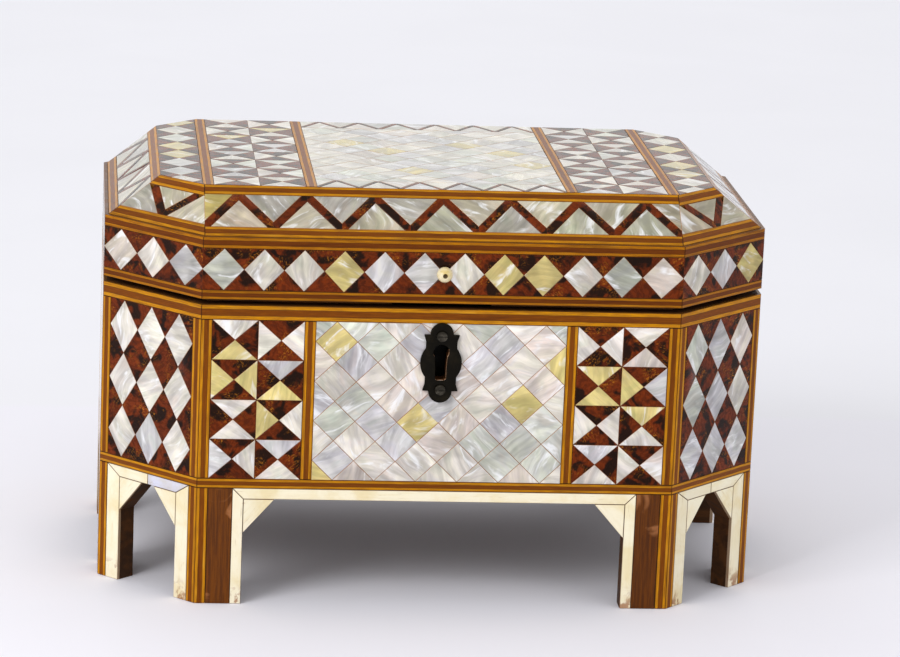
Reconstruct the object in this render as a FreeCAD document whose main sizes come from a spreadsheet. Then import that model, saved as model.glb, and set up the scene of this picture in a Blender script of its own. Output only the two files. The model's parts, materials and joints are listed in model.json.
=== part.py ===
import FreeCAD, Part
import Sketcher
import math
import os
import re

# Inlaid casket with a bottom-wound cylinder musical movement inside.
# Millimetres, +Z up, front towards -Y, origin on the floor under the middle of the case.

SIZES = {
    # Outline of the case and the lid
    "width": 300.0,
    "depth": 204.0,
    "corner_cut": 43.0,
    "leg_height": 54.0,
    "wall_height": 84.0,
    "lid_gap": 2.4,
    "frieze_height": 28.3,
    "bevel_rise": 18.5,
    "bevel_run": 24.5,
    # Boards
    "veneer": 1.6,
    "wall_board": 6.4,
    "lining_board": 2.0,
    "base_thick": 8.0,
    "leg_board": 8.4,
    "lid_rail_board": 8.4,
    "bevel_drop": 10.0,
    "bevel_veneer_drop": 2.0,
    "top_board": 7.5,
    "overcut": 1.0,
    # Inlay
    "stripe": 5.0,
    "wall_top_stripe": 6.7,
    "wall_foot_stripe": 4.4,
    "frieze_low_stripe": 4.3,
    "frieze_high_stripe": 5.2,
    "bevel_stripe": 5.5,
    "pinwheel_panel": 41.0,
    "zigzag_strip": 4.0,
    "top_zigzag_band": 15.0,
    "tile_joint": 0.25,
    # Legs and apron
    "leg_long": 21.0,
    "leg_corner": 12.8,
    "leg_bone": 5.0,
    "apron_height": 5.0,
    "bracket_run": 14.0,
    "bracket_drop": 16.0,
    # Hinges
    "hinge_length": 40.0,
    "hinge_from_corner": 12.0,
    "hinge_leaf": 1.1,
    "hinge_leaf_depth": 8.0,
    "hinge_axis_out": 2.7,
    "knuckle_radius": 2.4,
    "hinge_pin_radius": 1.1,
    "knuckle_gap": 0.3,
    "hinge_screw_radius": 0.9,
    "hinge_screw_length": 9.0,
    # Lock, escutcheon and knob
    "lock_block": 30.0,
    "lock_width": 44.0,
    "lock_height": 32.0,
    "lock_thick": 9.0,
    "lock_wall": 1.2,
    "lock_below_rim": 4.0,
    "bolt_length": 14.0,
    "bolt_tall": 5.0,
    "bolt_nose": 2.4,
    "staple_thick": 3.0,
    "staple_width": 4.6,
    "staple_plate_half": 9.2,
    "staple_plate_height": 13.8,
    "staple_drop": 20.0,
    "bolt_below_lock_top": 8.0,
    "escutcheon_width": 18.6,
    "escutcheon_waist": 14.0,
    "escutcheon_ears": 16.0,
    "escutcheon_dome": 10.4,
    "escutcheon_height": 36.5,
    "escutcheon_dome_rise": 5.4,
    "escutcheon_ear_drop": 3.2,
    "escutcheon_bulge_half": 6.5,
    "escutcheon_thick": 1.4,
    "escutcheon_below_rim": 6.1,
    "keyhole_radius": 3.6,
    "keyhole_slot": 5.0,
    "keyhole_length": 16.0,
    "keyhole_neck": 5.8,
    "keyhole_neck_drop": 2.0,
    "keyhole_taper": 5.5,
    "keyhole_toe": 0.6,
    "keyhole_toe_width": 3.0,
    "keyhole_above_middle": 4.8,
    "plate_screw_spacing": 24.4,
    "plate_screw_head": 2.3,
    "plate_screw_shank": 1.0,
    "plate_screw_length": 6.0,
    "plate_screw_head_height": 1.0,
    "plate_screw_slot": 0.5,
    "knob_radius": 3.5,
    "knob_neck": 1.6,
    "knob_length": 5.1,
    "knob_tenon": 6.0,
    "knob_dish": 1.2,
    # Movement frame
    "movement_inset": 24.0,
    "bed_length": 156.0,
    "bed_depth": 92.0,
    "bed_thick": 5.0,
    "bed_screw_inset": 8.0,
    # Spring barrel and winding
    "barrel_radius": 24.0,
    "barrel_height": 15.0,
    "barrel_wall": 3.0,
    "barrel_plate": 1.4,
    "barrel_from_end": 29.0,
    "arbor_radius": 3.0,
    "arbor_pivot_radius": 2.0,
    "ratchet_radius": 10.0,
    "ratchet_tooth": 1.4,
    "ratchet_thick": 2.5,
    "axial_play": 0.5,
    "crown_tooth": 2.2,
    "crown_addendum": 0.9,
    "tooth_bottom_gap": 0.3,
    "spring_strip": 0.8,
    "click_reach": 14.0,
    "click_width": 3.6,
    "click_nose": 0.6,
    "click_lift": 0.25,
    "click_axis_in": 0.6,
    "key_width": 36.0,
    "key_wing_height": 15.0,
    "key_wing_thick": 3.2,
    "key_hub_radius": 5.5,
    "key_hub_height": 13.0,
    "key_below_base": 3.0,
    "key_bore_stop": 2.0,
    "key_eye_radius": 3.0,
    "bridge_width": 11.0,
    "bridge_thick": 4.0,
    "pillar_radius": 4.0,
    # Cylinder and comb
    "cylinder_radius": 11.0,
    "cylinder_length": 76.0,
    "cylinder_wall": 1.4,
    "cylinder_shaft": 2.0,
    "pin_radius": 0.35,
    "pin_proud": 0.9,
    "plate_thick": 3.0,
    "plate_reach": 8.0,
    "end_gap": 1.5,
    "comb_pitch": 2.0,
    "comb_slot": 0.5,
    "comb_thick": 2.0,
    "comb_reach_bass": 24.0,
    "comb_reach_treble": 15.0,
    "comb_heel": 9.0,
    "comb_tip_gap": 0.3,
    "comb_screw_radius": 1.4,
    "comb_screw_head": 2.8,
    "comb_screw_head_height": 1.8,
    "comb_screw_length": 10.0,
    # Wheel train
    "wheel_module": 0.6,
    "fly_module": 0.5,
    "wheel_thick": 2.4,
    "wheel_hub_radius": 6.0,
    "train_shaft": 1.5,
    "fly_shaft": 1.2,
    "fly_radius": 9.0,
    "fly_length": 18.0,
    "fly_vane_thick": 0.8,
    "brake_drum_radius": 4.0,
    "brake_drum_length": 4.0,
    "bearing_clearance": 0.05,
    # Movement cover and stop rod
    "partition_thick": 3.0,
    "partition_gap": 4.0,
    "cover_ledge": 4.0,
    "glass_thick": 2.5,
    "cover_clear": 6.0,
    "back_rail_depth": 12.0,
    "stop_rod_size": 4.0,
    "stop_clearance": 0.3,
    "slide_clearance": 0.2,
    "striker_size": 8.0,
}

CROWN_TEETH = 48
DRIVE_PINION_TEETH = 12
WHEEL_TEETH = 60
TRAIN_PINION_TEETH = 12
TRAIN_WHEEL_TEETH = 48
FLY_PINION_TEETH = 12
RATCHET_TEETH = 24
COMB_TEETH = 37
PINS_PER_TRACK = 4
SPRING_TURNS = 8
HINGE_KNUCKLES = 5

doc = FreeCAD.newDocument("inlaid_music_casket")
sheet = doc.addObject("Spreadsheet::Sheet", "Sizes")
for row, (alias, size) in enumerate(SIZES.items(), start=1):
    sheet.set(f"A{row}", alias)
    sheet.set(f"B{row}", str(size))
    sheet.setAlias(f"B{row}", alias)
doc.recompute()

WORD = re.compile(r"[a-z_]+[a-z0-9_]*")
Z_AXIS = FreeCAD.Vector(0, 0, 1)
nodes = []


def formula(text):
    """Write an expression with each size looked up in the sheet."""
    return WORD.sub(lambda m: "Sizes." + m.group(0) if m.group(0) in SIZES else m.group(0), text)


def value(text):
    """The present number of an expression."""
    return float(sheet.evalExpression(formula(text)))


def bind(obj, path, text):
    obj.setExpression(path, formula(text))


def node(obj, label):
    """Name a finished sub-part."""
    obj.Label = label
    nodes.append(obj)
    return obj


def block(name, x, y, z):
    """A rectangular block between pairs of coordinates."""
    box = doc.addObject("Part::Box", name)
    for axis, size, (low, high) in (("x", "Length", x), ("y", "Width", y), ("z", "Height", z)):
        bind(box, size, f"({high}) - ({low})")
        bind(box, "Placement.Base." + axis, low)
    return box


TURNS = {
    "x": FreeCAD.Rotation(FreeCAD.Vector(0, 1, 0), 90),
    "y": FreeCAD.Rotation(FreeCAD.Vector(1, 0, 0), -90),
    "z": FreeCAD.Rotation(),
}


def rod(name, axis, radius, low, high, across):
    """A round bar along an axis, from low to high, with its two other coordinates in across."""
    bar = doc.addObject("Part::Cylinder", name)
    bar.Placement = FreeCAD.Placement(FreeCAD.Vector(), TURNS[axis])
    bind(bar, "Radius", radius)
    bind(bar, "Height", f"({high}) - ({low})")
    places = dict(zip([letter for letter in "xyz" if letter != axis], across))
    places[axis] = low
    for letter, text in places.items():
        bind(bar, "Placement.Base." + letter, text)
    return bar


def tapered(name, foot, top, y, z):
    """A block whose width changes evenly from its foot to its top."""
    piece = doc.addObject("Part::Wedge", name)
    piece.Placement = FreeCAD.Placement(FreeCAD.Vector(), FreeCAD.Rotation(FreeCAD.Vector(1, 0, 0), 90))
    for end, width in (("X", foot), ("X2", top)):
        bind(piece, end + "min", f"-({width}) / 2")
        bind(piece, end + "max", f"({width}) / 2")
    for end, (low, high) in (("Z", y), ("Z2", y), ("Y", z)):
        bind(piece, end + "min", "0")
        bind(piece, end + "max", f"({high}) - ({low})")
    bind(piece, "Placement.Base.y", y[1])
    bind(piece, "Placement.Base.z", z[0])
    return piece


def fused(name, pieces):
    joined = doc.addObject("Part::MultiFuse", name)
    joined.Shapes = pieces
    joined.Refine = True
    return joined


def group(name, pieces):
    """Like pieces that stay separate solids in one sub-part."""
    together = doc.addObject("Part::Compound", name)
    together.Links = pieces
    return together


def less(name, base, tools):
    """A piece with cuts made in it."""
    carved = doc.addObject("Part::Cut", name)
    carved.Base = base
    carved.Tool = tools[0] if len(tools) == 1 else fused(name + "_cuts", tools)
    return carved


def mirrored(name, source, normal):
    twin = doc.addObject("Part::Mirroring", name)
    twin.Source = source
    twin.Normal = FreeCAD.Vector(*normal)
    return twin


def four_ways(name, source):
    """A corner piece and its three reflections."""
    across = mirrored(name + "_across", source, (1, 0, 0))
    behind = mirrored(name + "_behind", source, (0, 1, 0))
    opposite = mirrored(name + "_opposite", across, (0, 1, 0))
    return [source, across, behind, opposite]


def solid_feature(name, shape):
    """A piece whose outline is worked out point by point."""
    feature = doc.addObject("Part::Feature", name)
    feature.Shape = shape
    return feature


def origin_plane(body, role):
    return next(item for item in body.Origin.OriginFeatures if item.Role == role)


def draw(sketch, corners):
    """A closed outline whose corners are held by expressions."""
    points = [FreeCAD.Vector(value(u), value(v), 0) for u, v in corners]
    count = len(points)
    for index in range(count):
        sketch.addGeometry(Part.LineSegment(points[index], points[(index + 1) % count]))
    for index in range(count):
        sketch.addConstraint(Sketcher.Constraint("Coincident", index, 2, (index + 1) % count, 1))
    for index, (u, v) in enumerate(corners):
        for kind, text, start in (("DistanceX", u, points[index].x), ("DistanceY", v, points[index].y)):
            held = sketch.addConstraint(Sketcher.Constraint(kind, -1, 1, index, 1, start))
            bind(sketch, f"Constraints[{held}]", text)


def padded(name, corners, low, high):
    """A body padded upwards from an outline in plan."""
    body = doc.addObject("PartDesign::Body", name)
    sketch = body.newObject("Sketcher::SketchObject", name + "_outline")
    sketch.AttachmentSupport = (origin_plane(body, "XY_Plane"), [""])
    sketch.MapMode = "FlatFace"
    draw(sketch, corners)
    bind(sketch, "AttachmentOffset.Base.z", low)
    pad = body.newObject("PartDesign::Pad", name + "_pad")
    pad.Profile = sketch
    bind(pad, "Length", f"({high}) - ({low})")
    return body


# The eight sides of the case: the turn of each about Z, the middle of its outer face, half its length.
LONG = "(width / 2 - corner_cut)"
END = "(depth / 2 - corner_cut)"
CORNER = "(corner_cut / sqrt(2))"
CORNER_X = "(width / 2 - corner_cut / 2)"
CORNER_Y = "(depth / 2 - corner_cut / 2)"
MITRE = "(sqrt(2) - 1)"
SIDES = {
    "front": (0, "0", "-depth / 2", LONG),
    "front_right": (45, CORNER_X, "-" + CORNER_Y, CORNER),
    "right": (90, "width / 2", "0", END),
    "back_right": (135, CORNER_X, CORNER_Y, CORNER),
    "back": (180, "0", "depth / 2", LONG),
    "back_left": (225, "-" + CORNER_X, CORNER_Y, CORNER),
    "left": (270, "-width / 2", "0", END),
    "front_left": (315, "-" + CORNER_X, "-" + CORNER_Y, CORNER),
}

# Levels
RIM = "(leg_height + wall_height)"
LID_FOOT = f"({RIM} + lid_gap)"
ARRIS = f"({LID_FOOT} + frieze_height)"
LID_TOP = f"({ARRIS} + bevel_rise)"
APRON_FOOT = "(leg_height - apron_height)"
BASE_TOP = "(leg_height + base_thick)"
WALL_IN = "(veneer + wall_board)"
LINING_IN = "(veneer + wall_board + lining_board)"
LID_RAIL_IN = "(veneer + lid_rail_board)"
BEVEL_SEAT = f"({ARRIS} - bevel_veneer_drop - bevel_drop / 2)"


def on_side(body, side):
    """Stand a piece that was drawn along its own side on that side of the case."""
    turn, x, y, _ = SIDES[side]
    body.Placement = FreeCAD.Placement(FreeCAD.Vector(), FreeCAD.Rotation(Z_AXIS, turn))
    bind(body, "Placement.Base.x", x)
    bind(body, "Placement.Base.y", y)
    return body


def side_board(name, side, outer, inner, low, high):
    """A board along one side, mitred into its neighbours, between two depths behind the outer face."""
    half = SIDES[side][3]
    near = f"({half} - {MITRE} * {outer})"
    far = f"({half} - {MITRE} * {inner})"
    corners = [("-" + near, outer), (near, outer), (far, inner), ("-" + far, inner)]
    return on_side(padded(name, corners, low, high), side)


def octagon(inset):
    """Corners in plan of the case outline moved in by a depth."""
    half_x = f"(width / 2 - {inset})"
    half_y = f"(depth / 2 - {inset})"
    short_x = f"({LONG} - {MITRE} * {inset})"
    short_y = f"({END} - {MITRE} * {inset})"
    return [
        ("-" + short_x, "-" + half_y), (short_x, "-" + half_y), (half_x, "-" + short_y), (half_x, short_y),
        (short_x, half_y), ("-" + short_x, half_y), ("-" + half_x, short_y), ("-" + half_x, "-" + short_y),
    ]


def ring_boards(name, outer, inner, low, high):
    """Boards on all eight sides: front, end and corner drawn, the others reflected."""
    front = side_board(name + "_front", "front", outer, inner, low, high)
    right = side_board(name + "_right", "right", outer, inner, low, high)
    corner = side_board(name + "_corner", "front_right", outer, inner, low, high)
    return {
        "front": front,
        "back": mirrored(name + "_back", front, (0, 1, 0)),
        "right": right,
        "left": mirrored(name + "_left", right, (1, 0, 0)),
        "corners": four_ways(name + "_corner", corner),
    }


# Case boards
walls = ring_boards("wall", "veneer", WALL_IN, "leg_height", RIM)
PLATE_MIDDLE = f"({RIM} - escutcheon_below_rim - escutcheon_height / 2)"
KEYHOLE_TOP = f"({PLATE_MIDDLE} + keyhole_above_middle)"
KEYHOLE_CUT = ("-depth / 2 - escutcheon_thick - veneer", f"-depth / 2 + {WALL_IN} + veneer")


KEYHOLE_FOOT = f"({KEYHOLE_TOP} + keyhole_radius - keyhole_length)"
KEYHOLE_NECK = f"({KEYHOLE_TOP} - keyhole_neck_drop)"


def keyhole(name):
    """Round eye that narrows to a slot with a blunt toe, right through the front."""
    eye = rod(name + "_eye", "y", "keyhole_radius", *KEYHOLE_CUT, ("0", KEYHOLE_TOP))
    slot = block(
        name + "_slot", ("-keyhole_slot / 2", "keyhole_slot / 2"), KEYHOLE_CUT,
        (KEYHOLE_FOOT, KEYHOLE_TOP),
    )
    neck = tapered(name + "_neck", "keyhole_slot", "keyhole_neck", KEYHOLE_CUT,
                   (f"{KEYHOLE_NECK} - keyhole_taper", KEYHOLE_NECK))
    toe = tapered(name + "_toe", "keyhole_toe_width", "keyhole_slot", KEYHOLE_CUT,
                  (f"{KEYHOLE_FOOT} - keyhole_toe", KEYHOLE_FOOT))
    return fused(name, [eye, slot, neck, toe])


def plate_screw_places():
    return [("0", f"{PLATE_MIDDLE} {sign} plate_screw_spacing / 2") for sign in "+-"]


FRONT_FACE = "(-depth / 2)"
front_cuts = [keyhole("wall_keyhole")]
front_cuts += [
    rod(f"plate_screw_hole{index}", "y", "plate_screw_shank + bearing_clearance", FRONT_FACE,
        f"{FRONT_FACE} + plate_screw_length + bearing_clearance", place)
    for index, place in enumerate(plate_screw_places())
]

# The front is two lengths of board with a block for the lock glued between them
block_space = block("lock_block_space", ("-lock_block / 2", "lock_block / 2"), KEYHOLE_CUT,
                    ("leg_height - overcut", f"{RIM} + overcut"))
lock_block = doc.addObject("Part::Common", "lock_block")
lock_block.Base = walls["front"]
lock_block.Tool = block_space
front_lengths = less("front_lengths", walls["front"], [block_space])
node(group("front_wall", [front_lengths, less("bored_lock_block", lock_block, front_cuts)]), "front_board")

# Hinge places along the back edge
HINGE_X = f"({LONG} - hinge_from_corner - hinge_length / 2)"
HINGE_Y = "(depth / 2 + hinge_axis_out)"
HINGE_Z = f"({RIM} + lid_gap / 2)"
HINGE_SCREW_Y = "(depth / 2 - veneer - wall_board / 2)"
HINGE_SCREW_STEPS = (-0.36, 0.0, 0.36)


def hinge_screw_places():
    """Three screws in each leaf, shared by the leaves of the case and of the lid."""
    for hand in "+-":
        for step in HINGE_SCREW_STEPS:
            yield (f"{hand}{HINGE_X} + hinge_length * {step}", HINGE_SCREW_Y)


def hinge_screw_rods(name, radius, low, high):
    return [rod(f"{name}{index}", "z", radius, low, high, place)
            for index, place in enumerate(hinge_screw_places())]


HINGE_SCREW_CLEAR = "hinge_screw_radius + bearing_clearance"
back_holes = hinge_screw_rods("wall_hinge_hole", HINGE_SCREW_CLEAR,
                              f"{RIM} - hinge_screw_length - bearing_clearance", f"{RIM} + overcut")
node(less("back_wall", walls["back"], back_holes), "back_board")
node(walls["left"], "left_board")
node(walls["right"], "right_board")
node(group("corner_walls", walls["corners"]), "corner_boards")

ARBOR_X = "(movement_inset - width / 2 + barrel_from_end)"
BED_LEFT = "(movement_inset - width / 2)"
BED_RIGHT = f"({BED_LEFT} + bed_length)"
BED_TOP = f"({BASE_TOP} + bed_thick)"
SCREW_CLEAR = "comb_screw_radius + bearing_clearance"
base = padded("base_plate", octagon(WALL_IN), "leg_height", BASE_TOP)
BASE_CUT = ("leg_height - overcut", f"{BASE_TOP} + overcut")
arbor_hole = rod("base_arbor_hole", "z", "arbor_radius + axial_play", *BASE_CUT, (ARBOR_X, "0"))


def bed_corners():
    for end, x in enumerate((f"{BED_LEFT} + bed_screw_inset", f"{BED_RIGHT} - bed_screw_inset")):
        for edge, y in enumerate(("-bed_depth / 2 + bed_screw_inset", "bed_depth / 2 - bed_screw_inset")):
            yield f"{end}{edge}", (x, y)


base_holes = [
    rod("base_screw_hole" + key, "z", SCREW_CLEAR, *BASE_CUT, place) for key, place in bed_corners()
]
node(less("base", base, [arbor_hole] + base_holes), "base_board")

lining = ring_boards("lining", WALL_IN, LINING_IN, BASE_TOP, LID_FOOT)
LOCK_FRONT = f"(-depth / 2 + {WALL_IN})"
LOCK_TOP = f"({RIM} - lock_below_rim)"
lock_notch = block(
    "lining_lock_notch", ("-lock_width / 2 - slide_clearance", "lock_width / 2 + slide_clearance"),
    (f"{LOCK_FRONT} - veneer", f"{LOCK_FRONT} + lock_thick"),
    (f"{LOCK_TOP} - lock_height - slide_clearance", f"{LID_FOOT} + overcut"),
)
front_lining = less("lining_front_notched", lining["front"], [lock_notch])
lining_pieces = [front_lining, lining["back"], lining["left"], lining["right"]] + lining["corners"]
node(group("lining_ring", lining_pieces), "rim_lining")


# Legs, aprons and brackets
LEG_IN = "(veneer + leg_board)"


def leg_half(name, side, leg):
    """Half of a leg, mitred at the arris, at the far end of a side."""
    half = SIDES[side][3]
    corners = [
        (f"{half} - {leg}", "veneer"), (f"{half} - {MITRE} * veneer", "veneer"),
        (f"{half} - {MITRE} * {LEG_IN}", LEG_IN), (f"{half} - {leg}", LEG_IN),
    ]
    return on_side(padded(name, corners, "0", "leg_height"), side)


legs = four_ways("leg_long", leg_half("leg_long_half", "front", "leg_long"))
right_leg = leg_half("leg_end_half", "right", "leg_long")
legs += four_ways("leg_end", right_leg)


def corner_leg(name, sign):
    corners = [
        (f"{sign}({CORNER} - leg_corner)", "veneer"), (f"{sign}({CORNER} - {MITRE} * veneer)", "veneer"),
        (f"{sign}({CORNER} - {MITRE} * {LEG_IN})", LEG_IN), (f"{sign}({CORNER} - leg_corner)", LEG_IN),
    ]
    return on_side(padded(name, corners, "0", "leg_height"), "front_right")


legs += four_ways("leg_corner_far", corner_leg("leg_corner_far_half", ""))
legs += four_ways("leg_corner_near", corner_leg("leg_corner_near_half", "-"))
node(group("leg_set", legs), "legs")


def apron(name, side, leg):
    half = f"({SIDES[side][3]} - {leg})"
    corners = [("-" + half, "veneer"), (half, "veneer"), (half, LEG_IN), ("-" + half, LEG_IN)]
    return on_side(padded(name, corners, APRON_FOOT, "leg_height"), side)


front_apron = apron("apron_front", "front", "leg_long")
right_apron = apron("apron_right", "right", "leg_long")
aprons = [front_apron, mirrored("apron_back", front_apron, (0, 1, 0))]
aprons += [right_apron, mirrored("apron_left", right_apron, (1, 0, 0))]
aprons += four_ways("apron_corner", apron("apron_corner_rail", "front_right", "leg_corner"))
node(group("apron_set", aprons), "apron_rails")


def side_frame(side):
    """The place and turn of a side's own axes: along it, into it and up."""
    turn, x, y, _ = SIDES[side]
    return FreeCAD.Placement(FreeCAD.Vector(value(x), value(y), 0), FreeCAD.Rotation(Z_AXIS, turn))


def prism(points, along):
    """A solid from a flat outline pushed along a direction."""
    return Part.Face(Part.makePolygon(points + points[:1])).extrude(along)


def upright(side, outline, depth, thick):
    """A flat piece standing on a side, from an outline of distances along the side and heights."""
    points = [FreeCAD.Vector(u, depth, v) for u, v in outline]
    piece = prism(points, FreeCAD.Vector(0, thick, 0))
    piece.Placement = side_frame(side)
    return piece


def leg_width(side):
    return "leg_corner" if "_" in side else "leg_long"


def bracket_outline(side, sign):
    """Triangle in the angle between a leg and the apron."""
    corner = value(SIDES[side][3]) - value(leg_width(side))
    foot = value(APRON_FOOT)
    return [
        (sign * corner, foot),
        (sign * (corner - value("bracket_run")), foot),
        (sign * corner, foot - value("bracket_drop")),
    ]


brackets = [
    upright(side, bracket_outline(side, sign), value("veneer"), value("leg_board"))
    for side in SIDES
    for sign in (-1, 1)
]
node(solid_feature("bracket_set", Part.makeCompound(brackets)), "apron_brackets")


# Lid boards
lid_rails = ring_boards("lid_rail", "veneer", LID_RAIL_IN, LID_FOOT, BEVEL_SEAT)
rail_holes = hinge_screw_rods("rail_hinge_hole", HINGE_SCREW_CLEAR, f"{LID_FOOT} - overcut",
                              f"{LID_FOOT} + hinge_screw_length + bearing_clearance")
back_rail = less("lid_rail_back_bored", lid_rails["back"], rail_holes)
KNOB_Z = f"({LID_FOOT} + (frieze_height + frieze_low_stripe - frieze_high_stripe) / 2)"
knob_hole = rod("knob_hole", "y", "knob_neck + bearing_clearance", FRONT_FACE,
                f"{FRONT_FACE} + knob_tenon + bearing_clearance", ("0", KNOB_Z))
front_rail = less("lid_rail_front_bored", lid_rails["front"], [knob_hole])
rail_pieces = [front_rail, back_rail, lid_rails["left"], lid_rails["right"]] + lid_rails["corners"]
node(group("lid_rail_ring", rail_pieces), "lid_rails")


def bevel_outline(side):
    """Outer face of a bevel in its side's axes: two corners at the arris and two at the lid top."""
    half = value(SIDES[side][3]) - value(MITRE) * value("veneer")
    depth = value("veneer")
    run = value("bevel_run - veneer")
    low = value(ARRIS)
    high = value(LID_TOP)
    if "_" in side:
        run = run / math.sqrt(2)
        top_half = half - run
    else:
        top_half = half
    return [
        FreeCAD.Vector(-half, depth, low), FreeCAD.Vector(half, depth, low),
        FreeCAD.Vector(top_half, depth + run, high), FreeCAD.Vector(-top_half, depth + run, high),
    ]


def bevel_board(side):
    """Board behind the inlay of a bevel, flat where it sits on the lid rail."""
    drop = FreeCAD.Vector(0, 0, -value("bevel_veneer_drop"))
    outline = [point + drop for point in bevel_outline(side)]
    board = prism(outline, FreeCAD.Vector(0, 0, -value("bevel_drop")))
    seat = value(BEVEL_SEAT)
    reach = value("width")
    below = Part.makeBox(2 * reach, 2 * reach, seat, FreeCAD.Vector(-reach, -reach, 0))
    board = board.cut(below)
    board.Placement = side_frame(side)
    return board


bevel_boards = [bevel_board(side) for side in SIDES]
node(solid_feature("bevel_board_ring", Part.makeCompound(bevel_boards)), "lid_bevel_boards")

TOP_X = "(width / 2 - bevel_run)"
TOP_Y = "(depth / 2 - bevel_run)"
TOP_SHORT_X = f"({LONG} - {MITRE} * veneer)"
TOP_SHORT_Y = f"({END} - {MITRE} * veneer)"
TOP_CORNERS = [
    ("-" + TOP_SHORT_X, "-" + TOP_Y), (TOP_SHORT_X, "-" + TOP_Y),
    (TOP_X, "-" + TOP_SHORT_Y), (TOP_X, TOP_SHORT_Y),
    (TOP_SHORT_X, TOP_Y), ("-" + TOP_SHORT_X, TOP_Y),
    ("-" + TOP_X, TOP_SHORT_Y), ("-" + TOP_X, "-" + TOP_SHORT_Y),
]
TOP_GROUND = f"({LID_TOP} - veneer)"
node(padded("top_panel", TOP_CORNERS, f"{TOP_GROUND} - top_board", TOP_GROUND), "lid_top_panel")


# Inlay outlines. Each tile is a convex outline in a panel's own two axes.
def trim(outline, start, end, shift=0.0):
    """Keep what lies to the left of a line, moved to its left by a distance."""
    run = (end[0] - start[0], end[1] - start[1])
    length = math.hypot(*run)
    left = (-run[1] / length, run[0] / length)
    heights = [(u - start[0]) * left[0] + (v - start[1]) * left[1] - shift for u, v in outline]
    kept = []
    for index, point in enumerate(outline):
        after = (index + 1) % len(outline)
        if heights[index] >= 0:
            kept.append(point)
        if heights[index] * heights[after] < 0:
            share = heights[index] / (heights[index] - heights[after])
            other = outline[after]
            run = (other[0] - point[0], other[1] - point[1])
            kept.append((point[0] + share * run[0], point[1] + share * run[1]))
    return kept


def inside(outline, frame):
    """The part of an outline that lies in a convex frame."""
    for index, corner in enumerate(frame):
        if len(outline) > 2:
            outline = trim(outline, corner, frame[(index + 1) % len(frame)])
    return outline


def area(outline):
    pairs = zip(outline, outline[1:] + outline[:1])
    return sum(a[0] * b[1] - b[0] * a[1] for a, b in pairs) / 2


def ordered(outline):
    """An outline that runs anticlockwise."""
    return outline if area(outline) > 0 else outline[::-1]


def jointed(outline):
    """A tile drawn in by half a joint on every edge."""
    gap = value("tile_joint") / 2
    clean = [p for i, p in enumerate(outline) if math.dist(p, outline[i - 1]) > gap]
    drawn = clean
    for index, corner in enumerate(clean):
        if len(drawn) > 2:
            drawn = trim(drawn, corner, clean[(index + 1) % len(clean)], gap)
    return [p for i, p in enumerate(drawn) if math.dist(p, drawn[i - 1]) > gap / 2]


SMALLEST_TILE = 0.8


def tiles_in(frame, outlines):
    """Tiles of a panel, cut to its frame, each with its joint, leaving out chips."""
    cut = [jointed(inside(outline, frame)) for outline in outlines if len(inside(outline, frame)) > 2]
    return [outline for outline in cut if len(outline) > 2 and area(outline) > SMALLEST_TILE]


def rectangle(left, right, low, high):
    return [(left, low), (right, low), (right, high), (left, high)]


def diamond(u, v, half_u, half_v):
    return [(u, v - half_v), (u + half_u, v), (u, v + half_v), (u - half_u, v)]


def diamond_panel(left, right, low, high, columns, rows):
    """Rhombi that touch at their tips, and the rhombi between them."""
    step_u = (right - left) / columns
    step_v = (high - low) / rows
    full = [
        diamond(left + (i + 0.5) * step_u, low + (j + 0.5) * step_v, step_u / 2, step_v / 2)
        for i in range(columns) for j in range(rows)
    ]
    between = [
        diamond(left + i * step_u, low + j * step_v, step_u / 2, step_v / 2)
        for i in range(columns + 1) for j in range(rows + 1)
    ]
    return full, between


def pinwheel_panel(left, right, low, high, columns, rows, first):
    """Squares cut by their diagonals, with the light pairs turned from square to square."""
    step_u = (right - left) / columns
    step_v = (high - low) / rows
    light, dark = [], []
    for i in range(columns):
        for j in range(rows):
            u, v = left + i * step_u, low + j * step_v
            corners = rectangle(u, u + step_u, v, v + step_v)
            middle = (u + step_u / 2, v + step_v / 2)
            for edge in range(4):
                triangle = [corners[edge], corners[(edge + 1) % 4], middle]
                upright_pair = edge % 2 == (i + j + first) % 2
                (light if upright_pair else dark).append(triangle)
    return light, dark


def zigzag_band(frame, turns, strip):
    """Pieces of a band on either side of a zigzag line, and the strips along the line."""
    light, dark = [], []
    lines = [sorted(pair, key=lambda point: point[1]) for pair in zip(turns, turns[1:])]
    for index in range(len(lines) + 1):
        piece = frame
        if index > 0:
            piece = trim(piece, lines[index - 1][1], lines[index - 1][0], strip / 2)
        if index < len(lines):
            piece = trim(piece, lines[index][0], lines[index][1], strip / 2)
        light.append(piece)
    for low, high in lines:
        left, right = sorted((low[0], high[0]))
        piece = trim(trim(frame, low, high, -strip / 2), high, low, -strip / 2)
        piece = trim(piece, (left, high[1]), (left, low[1]))
        dark.append(trim(piece, (right, low[1]), (right, high[1])))
    return light, dark


# Tile sets of the case and of the lid
pearl = {"body": [], "lid": []}
shell = {"body": [], "lid": []}
stringing = {"body": [], "lid": []}
bone = []
leg_veneers = []
WALL_ROWS = 4
LATTICE_COLUMNS = 6
CORNER_COLUMNS = 3
CORNER_ROWS = 3


def lay(store, owner, outlines, frame, place):
    """Lay a panel's tiles in their set."""
    store[owner] += [place(outline) for outline in tiles_in(frame, outlines)]


def face_tile(side):
    """A tile let into the outer face of a side."""
    return lambda outline: upright(side, outline, 0, value("veneer"))


def mitred_piece(side, outline, low, high):
    """A strip of stringing from its outline in plan and its heights, drawn in by half a joint."""
    gap = value("tile_joint") / 2
    points = [FreeCAD.Vector(u, w, low + gap) for u, w in outline]
    piece = prism(points, FreeCAD.Vector(0, 0, high - low - 2 * gap))
    piece.Placement = side_frame(side)
    return piece


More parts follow.
